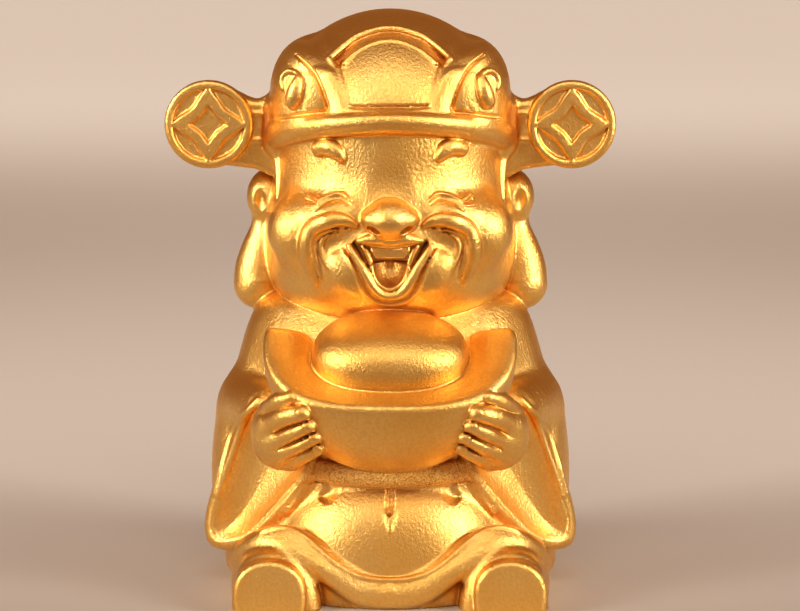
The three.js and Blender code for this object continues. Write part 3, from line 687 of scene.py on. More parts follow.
def shield(clay):
    """The front shield: a wide channel and a thin outer line run round its top, a thin ledge under it."""
    bow = mirrored([
        (6.4, 84.4), (7.2, 87.6), (8.3, 90.4), (9.7, 92.0),
        (8.3, 93.2), (5.6, 95.2), (2.3, 96.35), (0, 96.6),
    ])
    channel = overlap(plate(bow, -30, 26), outside(dome(), lift=-0.55), blend=0.4)
    carve(clay, channel, blend=0.6)
    outline = [(6.9, 84.3), (7.75, 87.6), (8.5, 90.7), (7.2, 92.1), (5.5, 93.4), (2.7, 94.7), (0, 95.15)]
    shield_plate = plate(smooth_line(mirrored(outline), 3), -30, 24, edge=0.2)
    add(clay, overlap(grown(dome(), 0.12), shield_plate, blend=0.5), blend=0.3)
    outer_line = mirrored([
        (9.3, 90.6), (9.9, 91.7), (10.1, 92.3), (8.6, 93.6), (5.8, 95.6), (2.4, 96.8), (0, 97.05),
    ])
    outer_radii = both_halves([0.25, 0.38, *[0.42] * 5])
    add(clay, strand(on_hat(outer_line), outer_radii), blend=0.4)
    top_edge = mirrored([(8.0, 91.0), (7.0, 92.0), (5.3, 93.3), (2.6, 94.55), (0, 95.0)])
    add(clay, strand(on_hat(top_edge), [0.35] * 9), blend=0.3)
    side_edge = [(8.7, 90.3), (7.9, 87.4), (7.2, 84.2), (6.9, 83.5)]
    add(clay, strand(on_hat(side_edge, lift=-0.15), [0.4, 0.5, 0.5, 0.4], whole=True), blend=0.4)
    ledge = mirrored([(7.1, 83.5), (3.5, 83.45), (0, 83.4)])
    add(clay, strand(on_hat(ledge, lift=-0.1), [0.42] * 5, whole=True), blend=0.4)
    groove_over_ledge = mirrored([(6.8, 84.3, 0.3), (5.6, 84.25, 0.5), (3.5, 84.25, 0.5), (0, 84.25, 0.5)])
    draw(clay, groove_over_ledge, height=-0.1)


def side_panel(clay):
    """A sunk panel with a crisp edge at its front and foot that fades out to the side."""
    corners = [
        (22.6, 93.0), (18.2, 93.6), (16.2, 92.7), (13.9, 91.1), (12.5, 89.4), (11.5, 87.2), (10.7, 85.0),
        (10.2, 83.6), (11.0, 82.9), (15.0, 82.4), (18.8, 81.8), (23, 81.4), (24.5, 86),
    ]
    depth = 0.7

    def sunk(x, y, z):
        fade_to_side = 0.15 * np.maximum(x - 15.4, 0)
        fade_to_top = 0.24 * np.maximum(z - 90.0, 0)
        return -bulge().distance(x, y, z) - depth + np.maximum(fade_to_side, fade_to_top)

    deep = Form((9, -30, 80), (24, 0, 95), sunk)
    carve(clay, overlap(plate(smooth_line(corners, 3, closed=True), -26, 26), deep), blend=0.3)
    front_edge = [
        (15.8, 92.5, 0.3), (13.9, 91.0, 0.5), (12.5, 89.3, 0.5),
        (11.5, 87.2, 0.5), (10.75, 85.1, 0.5), (10.4, 83.9, 0.5),
    ]
    foot_edge = [(10.9, 83.15, 0.5), (14.5, 82.7, 0.5), (18.0, 82.1, 0.3)]
    draw(clay, front_edge, height=-0.34)
    draw(clay, foot_edge, height=-0.3)


def drop_and_curl(clay):
    """A long drop lies in the panel, with a thin curl over its upper end."""
    drop = [(15.7, 88.5), (16.0, 87.2), (16.4, 85.8), (16.7, 84.9)]
    add(clay, strand(on_hat(drop, lift=-0.45), [0.95, 1.35, 1.5, 1.35], whole=True), blend=0.25)
    curl = [(15.2, 88.6), (15.9, 89.7), (17.0, 90.0), (18.0, 89.4), (18.5, 88.2), (18.3, 87.0)]
    curl_radii = [0.3, 0.45, 0.5, 0.5, 0.5, 0.35]
    add(clay, strand(on_hat(curl, lift=-0.15), curl_radii, whole=True), blend=0.4)


def petal(i, inner):
    """The outline of one sunk petal: an arc along the ring and a hollow inner side."""
    turns = [math.pi / 2 * (i + share) for share in np.linspace(0.05, 0.95, 9)]
    rim = [(inner * math.cos(a), inner * math.sin(a)) for a in turns]
    dips = [inner * (0.98 - 0.33 * math.sin(math.pi * k / 8)) for k in range(7, 0, -1)]
    return rim + [(r * math.cos(a), r * math.sin(a)) for r, a in zip(dips, turns[-2:0:-1])]


def hollow_sided_square(inner):
    turns = np.arange(32) * (2 * math.pi / 32)
    reach = inner * 0.52 * (1 - 0.4 * np.abs(np.sin(2 * turns)) ** 0.7)
    return list(zip(reach * np.cos(turns), reach * np.sin(turns)))


def coin_relief():
    """Four petals and a hollow-sided square, sunk inside the coin's ring."""
    inner = COIN_RADIUS - COIN_RING_WIDTH
    front = COIN_CENTRE[1] - COIN_THICKNESS
    for shape in [*(petal(i, inner) for i in range(4)), hollow_sided_square(inner)]:
        placed = [(x + COIN_CENTRE[0], z + COIN_CENTRE[2]) for x, z in shape]
        yield plate(placed, front - 2, 2 + COIN_RELIEF_DEPTH, edge=0.3)


def wing(clay):
    """A flat web with two short ribs at its root carries the coin."""
    x, y, z = COIN_CENTRE
    web = [
        (19, 71.8), (23.5, 72.4), (28.5, 73.0), (34.5, 73.6), (38, 79.5), (35, 85.5), (30, 87.2),
        (26.6, 85.9), (24.6, 84.9), (22.8, 84.5), (19, 85.2),
    ]
    add(clay, plate(smooth_line(web, 4, closed=True), y - 0.4, 4.8, edge=1.3), blend=0.6)
    for level in (82.1, 77.5):
        rib = [(21.4, y - 0.2, level), (24.2, y - 0.2, level)]
        add(clay, strand(rib, [0.5, 0.4], whole=True), blend=0.4)
    turns = np.arange(64) * (2 * math.pi / 64)
    disc = [(x + COIN_RADIUS * math.cos(a), z + COIN_RADIUS * math.sin(a)) for a in turns]
    add(clay, plate(disc, y - COIN_THICKNESS, COIN_THICKNESS, edge=0.7), blend=0.25)
    for sunk in coin_relief():
        carve(clay, sunk, blend=0.55)


# The body.

def robe(clay):
    """The robe's body, an oval in plan; side is its outline from under the ground up to the neck."""
    side = [
        (27.4, -2.0), (27.4, 0), (29.3, 2.6), (28.9, 8), (27.6, 18), (27.0, 27),
        (26.2, 35), (25.2, 41.9), (23.6, 47.2), (21.1, 50.2), (14, 52), (2, 52.4),
    ]
    add(clay, lathed(side, ROBE_DEPTHS, top=52.3, bottom=-2.0))


def belly(clay):
    """The robe's front swells forward from under the belt down to the hem, with a pleat at the navel,
    a hooked dimple on each side and a raised seam along each edge."""
    add(clay, front_swell(), blend=0.6)
    navel = [(0, 20.6, 0.9), (0, 18.8, 1.0), (0, 17.2, 1.0), (0, 16.2, 0.7)]
    draw(clay, navel, height=-0.8, back=-16)
    pleat = [(0, 15.6, 1.7), (0, 14.8, 1.3), (0, 13.4, 0.6)]
    draw(clay, pleat, height=0.35, back=-16)
    hook = [
        (12.4, 20.9, 0.8), (11.1, 20.9, 1.1), (10.2, 20.2, 1.3),
        (10.0, 19.2, 1.5), (10.6, 18.3, 1.5), (11.4, 18.1, 0.9),
    ]
    draw(clay, hook, height=-0.6, back=-14)
    seam = [(14.0, 20.4), (15.2, 18.4), (16.4, 16.4), (17.6, 14.6)]
    add(clay, strand(on_robe(seam), [0.4, 0.55, 0.55, 0.4]), blend=0.8)
    beside_seam = [(14.9, 20.2, 0.5), (16.2, 18.2, 0.7), (17.4, 16.2, 0.5)]
    draw(clay, beside_seam, height=-0.45, back=-13)


def front_swell():
    return egg((0, -8.0, 6.0), (20.5, 18.3, 18.6), fullness=2.4)


def bare_robe(clay):
    """The robe and its swell, before any relief."""
    robe(clay)
    add(clay, front_swell(), blend=0.6)


def on_robe(points, lift=0.0):
    return placed_on(bare_robe, tuple(points), lift)


def belt(clay):
    """A flat band across the front, with a groove over each of its ends."""
    line = mirrored([(15.5, -17.4, 22.9), (9.5, -21.8, 22.6), (0, -23.6, 22.4)])
    add(clay, strand(line, [2.0] * 5, flat=0.45), blend=0.15)
    end_groove = [(14.1, 20.6, 0.4), (13.4, 22.4, 0.6), (12.7, 24.6, 0.4)]
    draw(clay, end_groove, height=-0.5, back=-14)


# The hem's roll and its thin upper edge, from the side to the middle.
HEM_ROLL = [
    (27.2, -12.0, 4.6), (25.6, -17.6, 7.4), (22.4, -22.0, 10.0), (19.4, -24.0, 10.9),
    (17.0, -25.0, 10.4), (14.6, -25.4, 9.0), (12.0, -25.7, 7.2), (9.2, -25.8, 5.3),
    (5.8, -26.0, 3.2), (2.5, -26.0, 2.4), (0, -26.0, 2.3),
]
HEM_RADII = [0.9, 1.0, 1.1, 1.1, 1.1, 1.3, 1.7, 1.9, 2.0, 2.0, 2.0]
HEM_EDGE = [
    (26.0, -17.0, 8.1), (22.9, -21.5, 11.1), (21.1, -22.8, 12.8), (18.4, -23.4, 13.5),
    (16.0, -23.8, 13.0), (14, -24.6, 11.9), (11.2, -25.8, 9.6), (9.2, -26.3, 8.0),
    (6.5, -26.6, 6.3), (3.1, -26.8, 5.4), (0, -26.8, 5.2),
]


def hem(clay):
    """The rolled hem crosses both shins and dips to the ground between them, with a thin upper edge."""
    behind = 1.1
    between = [
        (x, (front + edge_front) / 2 + behind, (level + edge_level) / 2)
        for (x, front, level), (_, edge_front, edge_level) in zip(HEM_ROLL[1:], HEM_EDGE[:-1])
    ]
    fill = mirrored(between + [(0, -25.6, 3.6)])
    add(clay, strand(fill, [1.8] * len(fill)), blend=0.5)
    add(clay, strand(mirrored(HEM_ROLL), both_halves(HEM_RADII)), blend=1.6)
    edge_radii = both_halves([0.4, 0.45, *[0.5] * 6, 0.45, 0.45, 0.45])
    add(clay, strand(mirrored(HEM_EDGE), edge_radii), blend=0.25)


# The outlines of the cuff and of its hollow, in the cuff's own plane.
CUFF = [
    (0.3, 23.8), (3.4, 17.2), (7.2, 13.2), (13.3, 8.6), (16.7, 7.0), (20.6, 6.2),
    (23.6, 6.9), (24.7, 9.7), (24.2, 13.6), (22.8, 17.8), (21.0, 22.2), (19.0, 26.4),
    (17.2, 29.6), (14.0, 33.2), (11.0, 35.2), (6.0, 33.8), (1.0, 28.4),
]
CUFF_HOLLOW = [
    (2.7, 22.7), (7.4, 17.3), (11.7, 12.8), (15.4, 9.6), (18.4, 8.4), (21.0, 8.8), (21.8, 11.8),
    (19.4, 18.2), (17.0, 24.6), (15.8, 27.8), (13.0, 31.8), (9.0, 33.0), (5.0, 31.0), (2.6, 27.0),
]


def bare_sleeve(clay):
    """A wide cuff hangs under each wrist: a drop-shaped plate turned outwards, hollow inside its rim."""
    upper_arm = [
        (18.0, 1.5, 48.2), (20.3, 1, 41.5), (21.9, 0.4, 36), (24.1, -0.6, 30.6),
        (25.1, -2.4, 22.8), (26.2, -4.6, 16), (27.0, -6, 12.6),
    ]
    add(clay, strand(upper_arm, [6.0, 7.0, 7.7, 8.9, 9.2, 7.2, 5.2], flat=0.68), blend=3.0)
    forearm = [(24.0, -2, 31), (22.6, -8.0, 31.5), (20.6, -13.5, 31.5)]
    add(clay, strand(forearm, [6.2, 5.8, 5.2], whole=True), blend=1.5)
    cuff = plate(smooth_line(CUFF, 3, closed=True), 0, 11, edge=2.3)
    add(clay, on_slant(cuff, CUFF_CORNER, CUFF_TURN), blend=0.8)
    inside = bowl(smooth_line(CUFF_HOLLOW, 3, closed=True), 0, depth=3.0, slope=1.1)
    carve(clay, on_slant(inside, CUFF_CORNER, CUFF_TURN), blend=0.9)


def sleeve(clay):
    """The sleeve with two thin folds that run down outside the cuff."""
    bare_sleeve(clay)
    folds = [
        [(22.2, 34.6), (24.1, 32.3), (27.0, 28.3), (28.4, 24.6), (29.5, 20.6), (30.7, 16.4)],
        [(23.8, 31.9), (25.6, 28.8), (26.9, 25.0), (28.4, 20.6), (29.9, 16.0)],
    ]
    for line in folds:
        placed = placed_on(bare_sleeve, tuple(line), -0.05)
        add(clay, strand(placed, [0.35, *[0.55] * (len(line) - 2), 0.3]), blend=0.6)


def wrinkles(clay):
    """Short creases in the robe beside the chin."""
    near_chin = [(15.0, 49.6, 0.4), (15.4, 48.0, 0.6), (14.9, 46.4, 0.4)]
    on_shoulder = [(17.2, 49.8, 0.4), (18.6, 47.4, 0.6), (19.4, 45.0, 0.4)]
    draw(clay, near_chin, height=-0.06, back=-8)
    draw(clay, on_shoulder, height=-0.05, back=-6)


# The ingot and the hands.

def hull():
    """The ingot's hull: a boxy oval in plan that rounds in under itself."""
    low = np.array(HULL_CENTRE) - HULL_RADII
    high = np.array(HULL_CENTRE) + HULL_RADII
    wide, deep, tall = HULL_RADII

    def distance(x, y, z):
        u, v, w = np.abs(x / wide), np.abs((y - HULL_CENTRE[1]) / deep), (z - HULL_CENTRE[2]) / tall
        n = HULL_SQUARENESS
        plan = (u**n + v**n + TINY) ** (1 / n)
        out = np.sqrt(plan * plan + w * w)
        slope = np.sqrt((u / wide) ** 2 + (v / deep) ** 2 + (w / tall) ** 2) / np.maximum(out, 0.2)
        return (out - 1) / np.maximum(slope, 0.02)

    return Form(low, high, distance)


def level_across(points, across):
    line = smooth_line(points, 8)
    return np.interp(across, line[:, 0], line[:, 1])


def deck():
    """What is taken off the hull to leave its sloping deck and its two horns."""
    wide, deep, _ = HULL_RADII
    rim_share, ease = 0.95, 0.8

    def distance(x, y, z):
        across = np.abs(x)
        share = np.clip(1 - (across / wide) ** HULL_SQUARENESS, 0, 1) ** (1 / HULL_SQUARENESS)
        back = y - HULL_CENTRE[1] + rim_share * deep * share
        level = level_across(DECK_RIM, across) + level_across(DECK_SLOPE, across) * back
        return (level - z) * ease

    return Form((-wide, -60, 20), (wide, 20, 80), distance)


def horns():
    """All that is below the top edge of the horns."""
    middle, ease = -17, 0.9

    def distance(x, y, z):
        top = level_across(HORN_TOP, np.abs(x)) - HORN_FALL * (y - middle)
        return (z - top) * ease

    return Form((-60, -60, 0), (60, 60, 60), distance)


def ingot(clay):
    """A boat-shaped ingot with a round lump on its deck."""
    cup = overlap(hull(), horns(), blend=0.8)
    cut = deck()
    boat = Form(cup.low, cup.high, lambda *p: -melted(-cup.distance(*p), cut.distance(*p), 1.2))
    lump = egg(KNOB_CENTRE, KNOB_RADII, turn=(20, 0, 0), fullness=2.3)
    add(clay, boat, blend=0.15)
    add(clay, lump, blend=0.4)


# The knuckle, the bend and the tip of each finger, and its radius at each.
FINGERS = [
    ((20.0, -25.6, 31.6), (17.2, -29.6, 33.6), (14.4, -31.8, 34.6), (2.0, 1.9, 1.6)),
    ((19.2, -25.6, 28.8), (16.2, -29.6, 30.8), (13.4, -31.2, 32.3), (1.7, 1.55, 1.35)),
    ((18.0, -25.2, 26.6), (15.2, -28.8, 28.5), (12.3, -30.0, 30.2), (1.6, 1.45, 1.25)),
    ((16.6, -24.2, 25.0), (14.3, -27.2, 26.6), (11.8, -28.4, 28.1), (1.4, 1.25, 1.1)),
]
THUMB = ((20.6, -24.4, 34.0), (18.6, -28.0, 35.8), (16.3, -30.4, 37.0), (1.3, 1.6, 1.2))


def palm():
    """The heel of the hand and the part behind the fingers."""
    broad = egg((17.7, -23.0, 30.0), (5.7, 5.0, 6.2))
    low = egg((17.9, -21.5, 27.4), (5.0, 4.6, 4.2))
    return joined([broad, low], blend=1.5)


def hand(clay):
    """The fingers wrap the hull from below and the thumb lies along its rim."""
    rolls = joined([strand(line, radii, whole=True) for *line, radii in (*FINGERS, THUMB)], blend=0.1)
    add(clay, joined([palm(), rolls], blend=1.2), blend=0.2)
    for upper, lower in zip(FINGERS, FINGERS[1:]):
        halfway = [(np.array(a) + b) / 2 for a, b in zip(upper[:3], lower[:3])]
        gap = [(x, z, width) for (x, _, z), width in zip(halfway, (0.3, 0.7, 0.6))]
        draw(clay, gap, height=-0.24, back=-20)
    for _, bend, tip, radii in FINGERS:
        nail = np.array(tip) * 0.85 + np.array(bend) * 0.15 + (-0.1, -0.8 * radii[2], 0.35)
        add(clay, egg(nail, (0.9, 0.6, 0.75)), blend=0.2)


# The shoe's outline from the front.
SHOE = [
    (11.5, -9), (11.6, 0), (12.4, 4.4), (14.2, 7.4), (16.6, 9.4), (19.4, 10.3),
    (22.4, 9.9), (25.0, 8.0), (26.4, 4.6), (26.7, 0), (26.7, -9),
]


def leg(clay):
    """Each leg lies forward under the robe and ends in a shoe with an upright sole."""
    shin = egg((19.9, -14.0, 1.6), (7.6, 13.0, 9.2))
    add(clay, shin, blend=0.8)
    add(clay, plate(smooth_line(SHOE, 3, closed=True), -28.2, 9, edge=2.6), blend=0.5)
    turns = np.linspace(0, math.pi, 17)
    rise = SOLE_HEIGHT * (0.3 + 0.7 * np.sin(turns) ** 0.8)
    arch = [(SOLE_CENTRE + SOLE_HALF_WIDTH * math.cos(a), z) for a, z in zip(turns, rise)]
    foot = SOLE_HALF_WIDTH * 0.92
    outline = [(SOLE_CENTRE - foot, -2), (SOLE_CENTRE + foot, -2), *arch]
    add(clay, plate(outline, SOLE_FRONT, SOLE_DEPTH, edge=1.1), blend=0.25)


def ground(clay):
    """Cuts the figure off flat where it stands."""
    below = Form((-60, -60, -9), (60, 60, 0), lambda x, y, z: z + 0 * x + 0 * y)
    carve(clay, below)


def model(clay):
    robe(clay)
    wrinkles(clay)
    belly(clay)
    belt(clay)
    sleeve(clay)
    leg(clay)
    hem(clay)
    face(clay)
    hat(clay)
    wing(clay)
    ingot(clay)
    hand(clay)
    ground(clay)
    return clay.field


# From the field to a mesh.

def skin(field, origin, step):
    """Quads over the zero level of a field, with one corner in each cell that the surface crosses."""
    inside = field < 0
    count = np.zeros([n - 1 for n in field.shape], np.uint8)
    for i, j, k in product((0, 1), repeat=3):
        count += inside[i:i + count.shape[0], j:j + count.shape[1], k:k + count.shape[2]]
    crossed = (count > 0) & (count < 8)
    cells = np.argwhere(crossed)
    number = np.full(crossed.shape, -1, np.int32)
    number[crossed] = np.arange(len(cells))
    total, hits = np.zeros((len(cells), 3)), np.zeros(len(cells))
    quads = []
    for axis in range(3):
        unit = np.eye(3, dtype=int)[axis]
        others = [a for a in range(3) if a != axis]
        for i, j in product((0, 1), repeat=2):
            start = np.zeros(3, int)
            start[others] = i, j
            a, b = field[tuple((cells + start).T)], field[tuple((cells + start + unit).T)]
            across = np.nonzero((a < 0) != (b < 0))[0]
            share = a[across] / (a[across] - b[across])
            total[across] += start + share[:, None] * unit
            hits[across] += 1
        near = inside[tuple(slice(None, -1) if a == axis else slice(1, -1) for a in range(3))]
        far = inside[tuple(slice(1, None) if a == axis else slice(1, -1) for a in range(3))]
        edges = np.argwhere(near != far) + (np.ones(3, int) - unit)
        leaving = near[near != far]
        first, second = np.eye(3, dtype=int)[others]
        ring = [number[tuple((edges - move).T)] for move in (first * 0, first, first + second, second)]
        ring = np.stack(ring, 1)
        flip = leaving != (axis != 1)
        ring[flip] = ring[flip][:, ::-1]
        quads.append(ring)
    places = (cells + total / hits[:, None]) * step + origin
    return places, np.concatenate(quads)


def surface_at(places):
    """The distance at loose places, the direction that leads out of the metal and how fast it grows."""
    reach = 0.12
    corners = np.array([(1, 1, 1), (1, -1, -1), (-1, 1, -1), (-1, -1, 1)], np.float32)
    places = places.astype(np.float32)
    stacked = np.concatenate([places] + [places + corner * reach for corner in corners])
    values = model(Spots(stacked)).reshape(5, len(places))
    slope = sum(value[:, None] * corner for value, corner in zip(values[1:], corners)) / (4 * reach)
    steep = np.linalg.norm(slope, axis=1, keepdims=True)
    return values[0], slope / np.maximum(steep, 1e-6), np.maximum(steep[:, 0], 0.3)


def settled(places, most):
    """Places moved onto the surface, each by no more than most."""
    value, out, steep = surface_at(places)
    return places - out * np.clip(value / steep, -most, most)[:, None]


def crevices(places, out):
    """How shut in each place is, from 0 in the open to about 1 in a deep groove; the gold's colour is
    darkened by it as painted shade.
    """
    occlusion_shade = np.zeros(len(places))
    reaches = (0.4, 0.9, 1.8, 3.6)
    for reach in reaches:
        value = model(Spots((places + out * reach).astype(np.float32)))
        occlusion_shade += np.clip(1 - value / reach, 0, 1) / len(reaches)
    return occlusion_shade


def make_mesh(places, faces, name):
    mesh = bpy.data.meshes.new(name)
    mesh.vertices.add(len(places))
    mesh.vertices.foreach_set("co", (places * SHARE).astype(np.float32).ravel())
    corners = faces.shape[1]
    mesh.loops.add(faces.size)
    mesh.loops.foreach_set("vertex_index", faces.astype(np.int32).ravel())
    mesh.polygons.add(len(faces))
    mesh.polygons.foreach_set("loop_start", np.arange(len(faces), dtype=np.int32) * corners)
    mesh.update(calc_edges=True)
    mesh.validate()
    return mesh


def places_of(mesh):
    flat = np.empty(len(mesh.vertices) * 3, np.float32)
    mesh.vertices.foreach_get("co", flat)
    return flat.reshape(-1, 3).astype(float) / SHARE


def thinned(piece, most):
    """Takes faces away where the surface is even, down to the most that the piece may have."""
    triangles = sum(len(face.vertices) - 2 for face in piece.data.polygons)
    if triangles <= most:
        return
    thinner = piece.modifiers.new("thinner", "DECIMATE")
    thinner.ratio = most / triangles
    apply_modifiers(piece)


def apply_modifiers(piece):
    evaluated = piece.evaluated_get(bpy.context.evaluated_depsgraph_get())
    done = bpy.data.meshes.new_from_object(evaluated)
    piece.modifiers.clear()
    old, piece.data = piece.data, done
    bpy.data.meshes.remove(old)


def make_figure():
    """Models the half figure on the grid, skins both halves and settles the skin onto the surface twice."""
    grid = Grid(GRID_LOW, GRID_HIGH, GRID_STEP)
    half = model(grid)
    field = np.concatenate([half[:0:-1], half])
    origin = np.array(GRID_LOW) - (GRID_STEP * (len(half) - 1), 0, 0)
    places, quads = skin(field, origin, GRID_STEP)
    places = settled(places, most=0.25)
    piece = bpy.data.objects.new("gilded_caishen", make_mesh(places, quads, "gilded_caishen"))
    bpy.context.scene.collection.objects.link(piece)
    thinned(piece, MOST_FACES)
    mesh = piece.data
    places = settled(places_of(mesh), most=0.15)
    places[:, 2] = np.maximum(places[:, 2], 0)
    mesh.vertices.foreach_set("co", (places * SHARE).astype(np.float32).ravel())
    _, out, _ = surface_at(places)
    occlusion_shade = crevices(places, out)
    mesh.polygons.foreach_set("use_smooth", np.ones(len(mesh.polygons), bool))
    mesh.normals_split_custom_set_from_vertices(out)
    # The hollow attribute carries how shut in each place is; the gold darkens by it as painted shade.
    mesh.attributes.new("hollow", "FLOAT", "POINT").data.foreach_set("value", occlusion_shade.astype(np.float32))
    mesh.update()
    return piece


# Materials.

class Value:
    """A socket that can be added, taken away and multiplied; each step is a Math node."""

    def __init__(self, paint, socket):
        self.paint, self.socket = paint, socket

    def _step(self, operation, *values, clamp=False):
        node = self.paint.node("ShaderNodeMath", {"operation": operation, "use_clamp": clamp}, values)
        return Value(self.paint, node.outputs[0])

    def __add__(self, other):
        return self._step("ADD", self, other)

    __radd__ = __add__

    def __sub__(self, other):
        return self._step("SUBTRACT", self, other)

    def __rsub__(self, other):
        return self._step("SUBTRACT", other, self)

    def __mul__(self, other):
        return self._step("MULTIPLY", self, other)

    __rmul__ = __mul__

    def clamped(self):
        return self._step("ADD", self, 0.0, clamp=True)

    def between(self, low, high):
        """0 below low, 1 above high, and a smooth step in between."""
        settings = {"interpolation_type": "SMOOTHSTEP", "clamp": True}
        values = {"Value": self, "From Min": low, "From Max": high}
        node = self.paint.node("ShaderNodeMapRange", settings, values)
        return Value(self.paint, node.outputs["Result"])


class Paint:
    """The nodes of one material."""

    def __init__(self, name):
        self.material = bpy.data.materials.new(name)
        self.material.use_nodes = True
        self.tree = self.material.node_tree
        self.tree.nodes.clear()

    def node(self, kind, settings, values):
        """Adds a node of a kind, with its settings first and then the values or links of its sockets."""
        node = self.tree.nodes.new(kind)
        for key, setting in settings.items():
            setattr(node, key, setting)
        pairs = values.items() if isinstance(values, dict) else enumerate(values)
        for key, value in pairs:
            socket = node.inputs[key]
            source = value.socket if isinstance(value, Value) else value
            if isinstance(source, bpy.types.NodeSocket):
                self.tree.links.new(source, socket)
            else:
                socket.default_value = source
        return node

    def mixed(self, share, a, b):
        """Two colours mixed; share is how much of the second there is."""
        a, b = ((*c, 1) if isinstance(c, tuple) else c for c in (a, b))
        node = self.node("ShaderNodeMix", {"data_type": "RGBA"}, {0: share, 6: a, 7: b})
        return node.outputs[2]

    def noise(self, where, scale, detail, rough=0.55, stretch=(1, 1, 1)):
        """Even noise; scale is how many cells it has to a metre."""
        node = self.node("ShaderNodeMapping", {}, {"Vector": where, "Scale": stretch})
        values = {"Vector": node.outputs[0], "Scale": scale, "Detail": detail, "Roughness": rough}
        node = self.node("ShaderNodeTexNoise", {}, values)
        return Value(self, node.outputs[0])

    def finished(self, values):
        """The material, with its shader's sockets set."""
        shader = self.node("ShaderNodeBsdfPrincipled", {}, values)
        self.node("ShaderNodeOutputMaterial", {}, {"Surface": shader.outputs[0]})
        return self.material


# The gold where it lies open, its deeper patches and its dull grain; the last colour is both the belt's dark
# pits and painted shade in its shut-in grooves.
GOLD_LIGHT = (1.0, 0.64, 0.185)
GOLD_DEEP = (0.96, 0.53, 0.105)
GOLD_DULL = (0.78, 0.37, 0.06)
GOLD_PITS_AND_PAINTED_SHADE = (0.50, 0.16, 0.02)
FLOOR_COLOUR = (0.55, 0.49, 0.43, 1)
# How fine the noises of the gold are, in cells to a metre, and the height of its relief in metres.
CLOUD_SCALE = 90.0
CRINKLE_SCALE = 2000.0
SPECK_SCALE = 3200.0
RELIEF_DEPTH = 0.00014
# Where the belt's finish fades out: at its foot, at its top and round the sides, in shares.
BELT_FOOT = (19.8, 20.6)
BELT_TOP = (24.2, 25.0)
BELT_SIDE = (-21.0, -17.0)


def on_belt(height, front):
    """1 on the front of the belt and 0 off it; height and front are in shares."""
    over_foot = height.between(*BELT_FOOT)
    over_top = height.between(*BELT_TOP)
    behind = front.between(*BELT_SIDE)
    return over_foot * (1 - over_top) * (1 - behind)


def gilding():
    """Polished gold lacquer with a fine crinkle; it is rougher where it is shut in, and painted shade makes
    it redder and darker there.
    """
    paint = Paint("gold_lacquer_finish")
    where = paint.node("ShaderNodeTexCoord", {}, {}).outputs["Object"]
    along = paint.node("ShaderNodeSeparateXYZ", {}, {0: where}).outputs
    hollow = Value(paint, paint.node("ShaderNodeAttribute", {"attribute_name": "hollow"}, {}).outputs["Fac"])
    belt_zone = on_belt(Value(paint, along["Z"]) * (1 / SHARE), Value(paint, along["Y"]) * (1 / SHARE))

    occlusion_shade = hollow.between(0.38, 0.95)
    cloud = paint.noise(where, CLOUD_SCALE, 2.0)
    crinkle = paint.noise(where, CRINKLE_SCALE, 4.0, rough=0.65, stretch=(1, 1, 0.8))
    speck = paint.noise(where, SPECK_SCALE, 1.0)
    grain = crinkle.between(0.3, 0.7)
    pits = speck.between(0.50, 0.62) * belt_zone

    colour = paint.mixed(cloud.between(0.35, 0.65) * 0.6, GOLD_LIGHT, GOLD_DEEP)
    colour = paint.mixed(grain * 0.4, colour, GOLD_DULL)
    colour = paint.mixed(pits * 0.55, colour, GOLD_PITS_AND_PAINTED_SHADE)
    # Painted shade: the colour turns to a dark red-brown as far as each place is shut in by the grooves and
    # hollows round it.
    colour = paint.mixed(occlusion_shade * 0.75, colour, GOLD_PITS_AND_PAINTED_SHADE)
    rough = 0.27 + cloud * 0.08 + grain * 0.06 + occlusion_shade * 0.14 + belt_zone * 0.14
    relief = crinkle * (0.9 + belt_zone * 1.6) + speck * (0.3 + belt_zone * 1.2)
    bump = paint.node("ShaderNodeBump", {}, {"Strength": 1.0, "Distance": RELIEF_DEPTH, "Height": relief})
    values = {"Base Color": colour, "Metallic": 1.0, "Roughness": rough.clamped(), "Normal": bump.outputs[0]}
    return paint.finished(values)


def floor_finish():
    return Paint("pale_floor").finished({"Base Color": FLOOR_COLOUR, "Roughness": 0.75})


# The scene, in metres.
FLOOR_HALF_SIDE = 6.0
CAMERA_TARGET = (0.00167, 0, 0.0481)
CAMERA_DISTANCE = 0.480
CAMERA_RISE = math.radians(8)
# The lens and its sensor are in millimetres.
LENS_LENGTH = 122.94
SENSOR_WIDTH = 36
LAMP_COLOUR = (1, 0.98, 0.93)
WORLD_COLOUR = (0.40, 0.155, 0.05, 1)
WORLD_STRENGTH = 0.6


def floor():
    """A pale floor that runs far back."""
    side = FLOOR_HALF_SIDE / SHARE
    corners = np.array([(-side, -side, 0), (side, -side, 0), (side, side, 0), (-side, side, 0)])
    sheet = bpy.data.objects.new("floor", make_mesh(corners, np.array([[0, 1, 2, 3]]), "floor"))
    bpy.context.scene.collection.objects.link(sheet)
    sheet.data.materials.append(floor_finish())


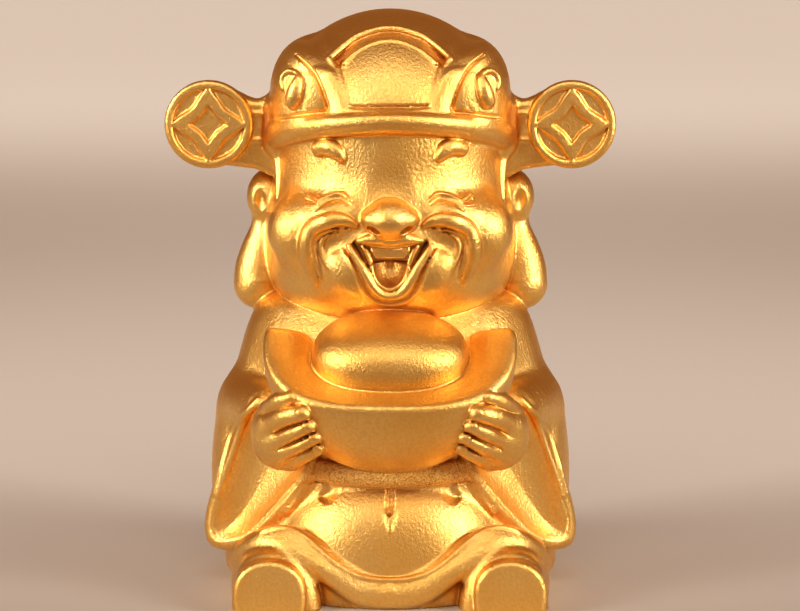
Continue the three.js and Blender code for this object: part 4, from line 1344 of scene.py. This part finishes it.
def camera():
    """The camera of the photograph, a little above the figure's middle and level in its roll."""
    lens = bpy.data.cameras.new("camera")
    lens.sensor_width = SENSOR_WIDTH
    lens.lens = LENS_LENGTH
    lens.clip_start, lens.clip_end = 0.01, 30
    eye = bpy.data.objects.new("camera", lens)
    back, up = math.cos(CAMERA_RISE), math.sin(CAMERA_RISE)
    eye.location = Vector(CAMERA_TARGET) + CAMERA_DISTANCE * Vector((0, -back, up))
    eye.rotation_euler = (math.pi / 2 - CAMERA_RISE, 0, 0)
    bpy.context.scene.collection.objects.link(eye)
    bpy.context.scene.camera = eye


def softbox(name, place, size, power, aim, spread=75):
    """A rectangular lamp behind a grid that keeps its light in a cone, spread degrees wide."""
    light = bpy.data.lights.new(name, "AREA")
    light.shape = "RECTANGLE"
    light.size, light.size_y = size
    light.energy = power
    light.color = LAMP_COLOUR
    light.spread = math.radians(spread)
    lamp = bpy.data.objects.new(name, light)
    lamp.location = place
    lamp.rotation_euler = (Vector(aim) - Vector(place)).to_track_quat("-Z", "Y").to_euler()
    lamp.visible_camera = False
    bpy.context.scene.collection.objects.link(lamp)


def lamps():
    """One lamp overhead, a window and a small card on each side, and one that lights the far floor."""
    softbox("overhead", place=(0, -0.32, 0.54), size=(0.56, 0.42), power=0.42, aim=(0, 0.30, 0.05))
    for side in (-1, 1):
        window = (side * 0.56, -0.26, 0.30)
        softbox("window", place=window, size=(0.26, 0.36), power=1.6, aim=(0, 0.34, 0.16))
        card = (side * 0.11, -0.62, 0.055)
        softbox("card", place=card, size=(0.14, 0.10), power=0.07, aim=(side * 0.05, 0, 0.08), spread=180)
    softbox("backdrop", place=(0, 2.5, 1.2), size=(4.0, 3.6), power=50, aim=(0, 2.6, 0), spread=60)


def studio():
    """The dim red-brown surroundings."""
    world = bpy.data.worlds.new("studio")
    world.use_nodes = True
    sockets = world.node_tree.nodes["Background"].inputs
    sockets["Color"].default_value = WORLD_COLOUR
    sockets["Strength"].default_value = WORLD_STRENGTH
    bpy.context.scene.world = world
    bpy.context.scene.view_settings.view_transform = "Standard"


camera()
figure = make_figure()
figure.data.materials.clear()
figure.data.materials.append(gilding())
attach(figure, "root")
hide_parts(FIGURE)
floor()
lamps()
studio()
